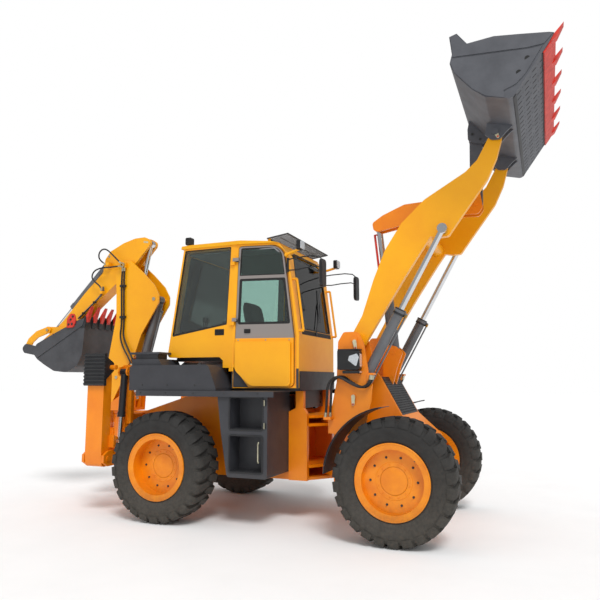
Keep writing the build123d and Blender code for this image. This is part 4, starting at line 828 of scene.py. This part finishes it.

# Loader bucket: weld slots and plug welds in rows on its floor, seen from below, and its side details. The
# slots are black as painted shade in their recesses
FLOOR_BACK = Vector((2470, 0, 4024))
FLOOR_LIP = Vector((2786, 0, 4469))
forward = (FLOOR_LIP - FLOOR_BACK).normalized()
below = Vector((forward.z, 0, -forward.x))
ROW_GAP = 118
SLOT_GAP = 113.7
slots = Shape()
welds = Shape()
for row in range(4):
    for i in range(20):
        middle = FLOOR_BACK + forward * (90 + ROW_GAP * row)
        middle += Vector((0, -1080 + SLOT_GAP * i + 28 * (row % 2), 0))
        long = (forward + Vector((0, 0.35, 0))).normalized() * 30
        wide = long.cross(below).normalized() * 5
        corners = [middle - long - wide, middle + long - wide, middle + long + wide, middle - long + wide]
        slots.prism(corners, below * 1.6)
        spot = middle + forward * 58
        welds.rod(spot, spot + below * 2, 8, 10)
# Black slots: painted shade inside the slot recesses
slots.make("bucket_floor_slot_shade", black_seal_and_shade, "front_bucket", "charcoal")
welds.make("bucket_plug_welds", bucket_paint, "front_bucket", "charcoal", 0.8)

heel = Shape()
strip_side = Vector((0, 1150, 0))
for one, other in (
        (FLOOR_BACK + forward * 6, FLOOR_BACK + forward * 46),
        (FLOOR_LIP - forward * 96, FLOOR_LIP - forward * 4)):
    heel.prism([one - strip_side, other - strip_side, other + strip_side, one + strip_side], below * 6)
heel.make("bucket_heel_strips", black_paint, "front_bucket", "charcoal", 2)

# Black half discs on the bucket's side plates are painted shade, the shaded half of each eye hole; EYE_LEAN
# turns that half
EYE_LEAN = 0.5
marks = Shape()
for side in (-1, 1):
    near, far = sorted((side * 1179, side * 1181.5))
    for x, z in ((2608, 4363), (2530, 4244)):
        half = [
            (x + 24 * cos(pi * k / 12 + EYE_LEAN), z + 24 * sin(pi * k / 12 + EYE_LEAN)) for k in range(13)]
        marks.slab(near, far, half)
marks.make("bucket_side_eye_shade", black_seal_and_shade, "front_bucket", "charcoal")
bolts = Shape()
for side in (-1, 1):
    for x, z in ((2000, 4180), (2080, 4110), (2010, 4330)):
        bolts.bolt((x, side * 66, z), (0, side, 0), 14)
bolts.make("bucket_bracket_bolts", casting, "front_bucket", "cast")

# Cutting steel on the digging bucket: adapters behind its teeth and bolts through the side cutters
adapters = Shape()
for y in (-270, -135, 0, 135, 270):
    adapters.slab(y - 36, y + 36, [
        (-3120, 2190), (-3034, 2196), (-3020, 2290), (-3030, 2352), (-3050, 2352), (-3052, 2230)])
adapters.make("dig_tooth_adapters", black_paint, "digging_bucket", "charcoal", 5)
cutter_bolts = Shape()
for side in (-1, 1):
    for x, z in ((-3295, 2245), (-3265, 2310), (-3230, 2350), (-3240, 2250)):
        cutter_bolts.bolt((x, side * 326, z), (0, side, 0), 15)
cutter_bolts.make("dig_cutter_bolts", casting, "digging_bucket", "cast")

# Steel pipes along the digger and their clamps
pipes = Shape()
for y in (-120, -104):
    pipes.pipe([
        (-2925, y, 2765), (-2920, y, 2712), (-2960, y, 2650), (-3029, y, 2585), (-3110, y, 2520),
        (-3330, y, 2345)], 8)
pipes.make("dipper_pipes", barrel_paint, "dipper_body", "cylinder_grey")
clamps = Shape()
for x, z in ((-3060, 2556), (-3240, 2414)):
    clamps.block((x - 16, x + 16), (-134, -90), (z - 13, z + 15))
clamps.make("dipper_pipe_clamps", black_paint, "dipper_body", "charcoal", 3)
boom_clamps = Shape()
for x, z in ((-2562, 2750), (-2548, 2330)):
    boom_clamps.block((x - 42, x + 42), (-168, -128), (z - 16, z + 16))
    boom_clamps.bolt((x, -168, z), (0, -1, 0), 12)
boom_clamps.make("boom_hose_clamps", black_paint, "boom_body", "charcoal", 3)
plates = Shape()
plates.slab(-92, -90, rounded([(-2300, 3332, 4), (-2226, 3318, 4), (-2222, 3340, 4), (-2296, 3354, 4)]))
plates.make("dipper_blank_plate", cream, "dipper_body", "cast")

# Cylinder heads: clamp rings and brass fittings on the lift barrels, and the red strut beside the tilt rod
LIFT_BASE = Vector((790, 0, 1332))
LIFT_WAY = (Vector((1722, 0, 3025)) - LIFT_BASE).normalized()
heads = Shape()
fittings = Shape()
for side in (-1, 1):
    start = LIFT_BASE + Vector((0, side * 578, 0))
    for along, radius, width in ((955, 62, 22), (1006, 63, 10), (120, 58, 16)):
        heads.rod(start + LIFT_WAY * along, start + LIFT_WAY * (along + width), radius, 32)
    for along in (975, 180):
        at = start + LIFT_WAY * along + Vector((LIFT_WAY.z, 0, -LIFT_WAY.x)) * 78
        fittings.rod(at - LIFT_WAY * 18, at + LIFT_WAY * 18, 15, 6)
heads.make("lift_cylinder_bands", black_paint, "lift_barrels", "cylinder_grey", 1.5)
fittings.make("lift_pipe_fittings", brass, "lift_barrels", "cast", 1)
TILT_BASE = Vector((1070, 0, 1810))
TILT_WAY = (Vector((917, 0, 3263)) - TILT_BASE).normalized()
strut = Shape()
off = Vector((-TILT_WAY.z, 0, TILT_WAY.x)) * 62
strut.rod(TILT_BASE + TILT_WAY * 860 + off, TILT_BASE + TILT_WAY * 1370 + off, 13, 14)
for along in (866, 1366):
    strut.rod(TILT_BASE + TILT_WAY * along + off * 1.1, TILT_BASE + TILT_WAY * along + off * 0.55, 9, 12)
strut.make("safety_strut", red_paint, "tilt_rod_body", "red", 1)

# Step boxes: lips round the recesses, treads, grab handles and hinges
steps = Shape()
treads = Shape()
handles = Shape()
for side in (-1, 1):
    def on_step(x, z, k, side=side):
        return (x, side * (981 + 5 * k), z)
    for z0, z1 in ((570, 930), (1000, 1320)):
        opening = [(-460, z0, 14), (-90, z0, 14), (-90, z1, 14), (-460, z1, 14)]
        steps.ring(rounded(inset(opening, -16)), rounded(inset(opening, 1)), on_step)
        for i in range(6):
            y = 790 + 34 * i
            a, b = sorted((side * y, side * (y + 16)))
            treads.block((-452, -98), (a, b), (z0, z0 + 7))
    handles.pipe([
        (-128, side * 976, 668), (-128, side * 992, 690),
        (-128, side * 992, 850), (-128, side * 976, 872)], 8)
    for z in (1040, 1270):
        steps.block((-78, -44), tuple(sorted((side * 980, side * 990))), (z - 26, z + 26))
        handles.rod((-61, side * 990, z - 30), (-61, side * 990, z + 30), 6, 12)
steps.make("step_box_lips", black_paint, "chassis", "charcoal", 2)
treads.make("step_treads", black_paint, "chassis", "charcoal", 2)
handles.make("step_box_handles", zinc, "chassis", "cast", 1)

# Bolts on the side boxes (upper) and the ledges (lower), and in front of the cab's floor
UPPER_BOLTS = (980, 1450)
LOWER_BOLTS = (1010, 1366)
covers = Shape()
for side in (-1, 1):
    for x, (y, z) in (
            (-1580, UPPER_BOLTS), (-1580, LOWER_BOLTS), (-1250, UPPER_BOLTS), (-1250, LOWER_BOLTS),
            (-900, UPPER_BOLTS), (-900, LOWER_BOLTS), (-520, LOWER_BOLTS), (-130, LOWER_BOLTS)):
        covers.bolt((x, side * y, z), (0, side, 0), 8)
for y in (-300, 300):
    for z in (1240, 1340):
        covers.bolt((74, y, z), (1, 0, 0), 13)
covers.make("cover_bolts", casting, "chassis", "cast")

# Front fender lips: a bead that follows each fender's outer edge
LIP_OUTER = 682
LIP_INNER = 668
lips = Shape()
for side in (-1, 1):
    arc = [radians(a) for a in range(98, 176, 6)]
    outer = [(FRONT_AXLE + LIP_OUTER * cos(a), TYRE_R + LIP_OUTER * sin(a)) for a in arc]
    inner = [(FRONT_AXLE + LIP_INNER * cos(a), TYRE_R + LIP_INNER * sin(a)) for a in arc]
    near, far = sorted((side * 1068, side * 1080))
    lips.slab(near, far, outer + inner[::-1])
lips.make("front_fender_lips", charcoal, "front_part", "charcoal", 2, 60)

# The photograph's camera
camera_data = bpy.data.cameras.new("photo_camera")
CAMERA_PITCH = 0.1309
CAMERA_YAW = 0.387
camera_data.lens = 36.24
camera_data.sensor_width = 36
camera = bpy.data.objects.new("photo_camera", camera_data)
camera.location = (2.6398 + MID * MM, -6.6477, 1.5103)
camera.rotation_euler = (pi / 2 + CAMERA_PITCH, 0, CAMERA_YAW)
bpy.context.scene.collection.objects.link(camera)
bpy.context.scene.camera = camera

# Floor, daylight from a white sky, and a soft sun from the front right
floor_mesh = bpy.data.meshes.new("studio_floor")
FLOOR_HALF = 60
floor_mesh.from_pydata([
    (x * FLOOR_HALF, y * FLOOR_HALF, 0) for x, y in ((-1, -1), (1, -1), (1, 1), (-1, 1))], [], [(0, 1, 2, 3)])
floor = bpy.data.objects.new("studio_floor", floor_mesh)
bpy.context.scene.collection.objects.link(floor)
floor_mesh.materials.append(finish("floor_pale_matt", "#FBFBFB", "#F7F7F7", 900, 0.9))

world = bpy.data.worlds.new("studio")
world.use_nodes = True
bpy.context.scene.world = world
sky = world.node_tree
ray = add(sky, "LightPath", {})
rays = {0: ray.outputs["Is Camera Ray"], 1: ray.outputs["Is Glossy Ray"]}
seen = add(sky, "Math", rays, operation="MAXIMUM")
shown = add(sky, "Math", {0: seen.outputs[0], 1: ray.outputs["Is Transmission Ray"]}, operation="MAXIMUM")
strength = add(sky, "MapRange", {0: shown.outputs[0], 3: 0.72, 4: 1.0})
dimmed = add(sky, "MapRange", {0: ray.outputs["Is Glossy Ray"], 3: 1.0, 4: 0.45})
level_of_light = add(sky, "Math", {0: strength.outputs[0], 1: dimmed.outputs[0]}, operation="MULTIPLY")
background = sky.nodes["Background"]
background.inputs["Color"].default_value = (1, 1, 1, 1)
sky.links.new(level_of_light.outputs[0], background.inputs["Strength"])

sun_data = bpy.data.lights.new("soft_sun", "SUN")
sun_data.energy = 1.6
sun_data.angle = radians(18)
sun = bpy.data.objects.new("soft_sun", sun_data)
sun.rotation_euler = Vector((-0.42, 0.62, -0.95)).to_track_quat("-Z", "Y").to_euler()
bpy.context.scene.collection.objects.link(sun)
bpy.context.scene.view_settings.view_transform = "Standard"

bpy.context.view_layer.update()
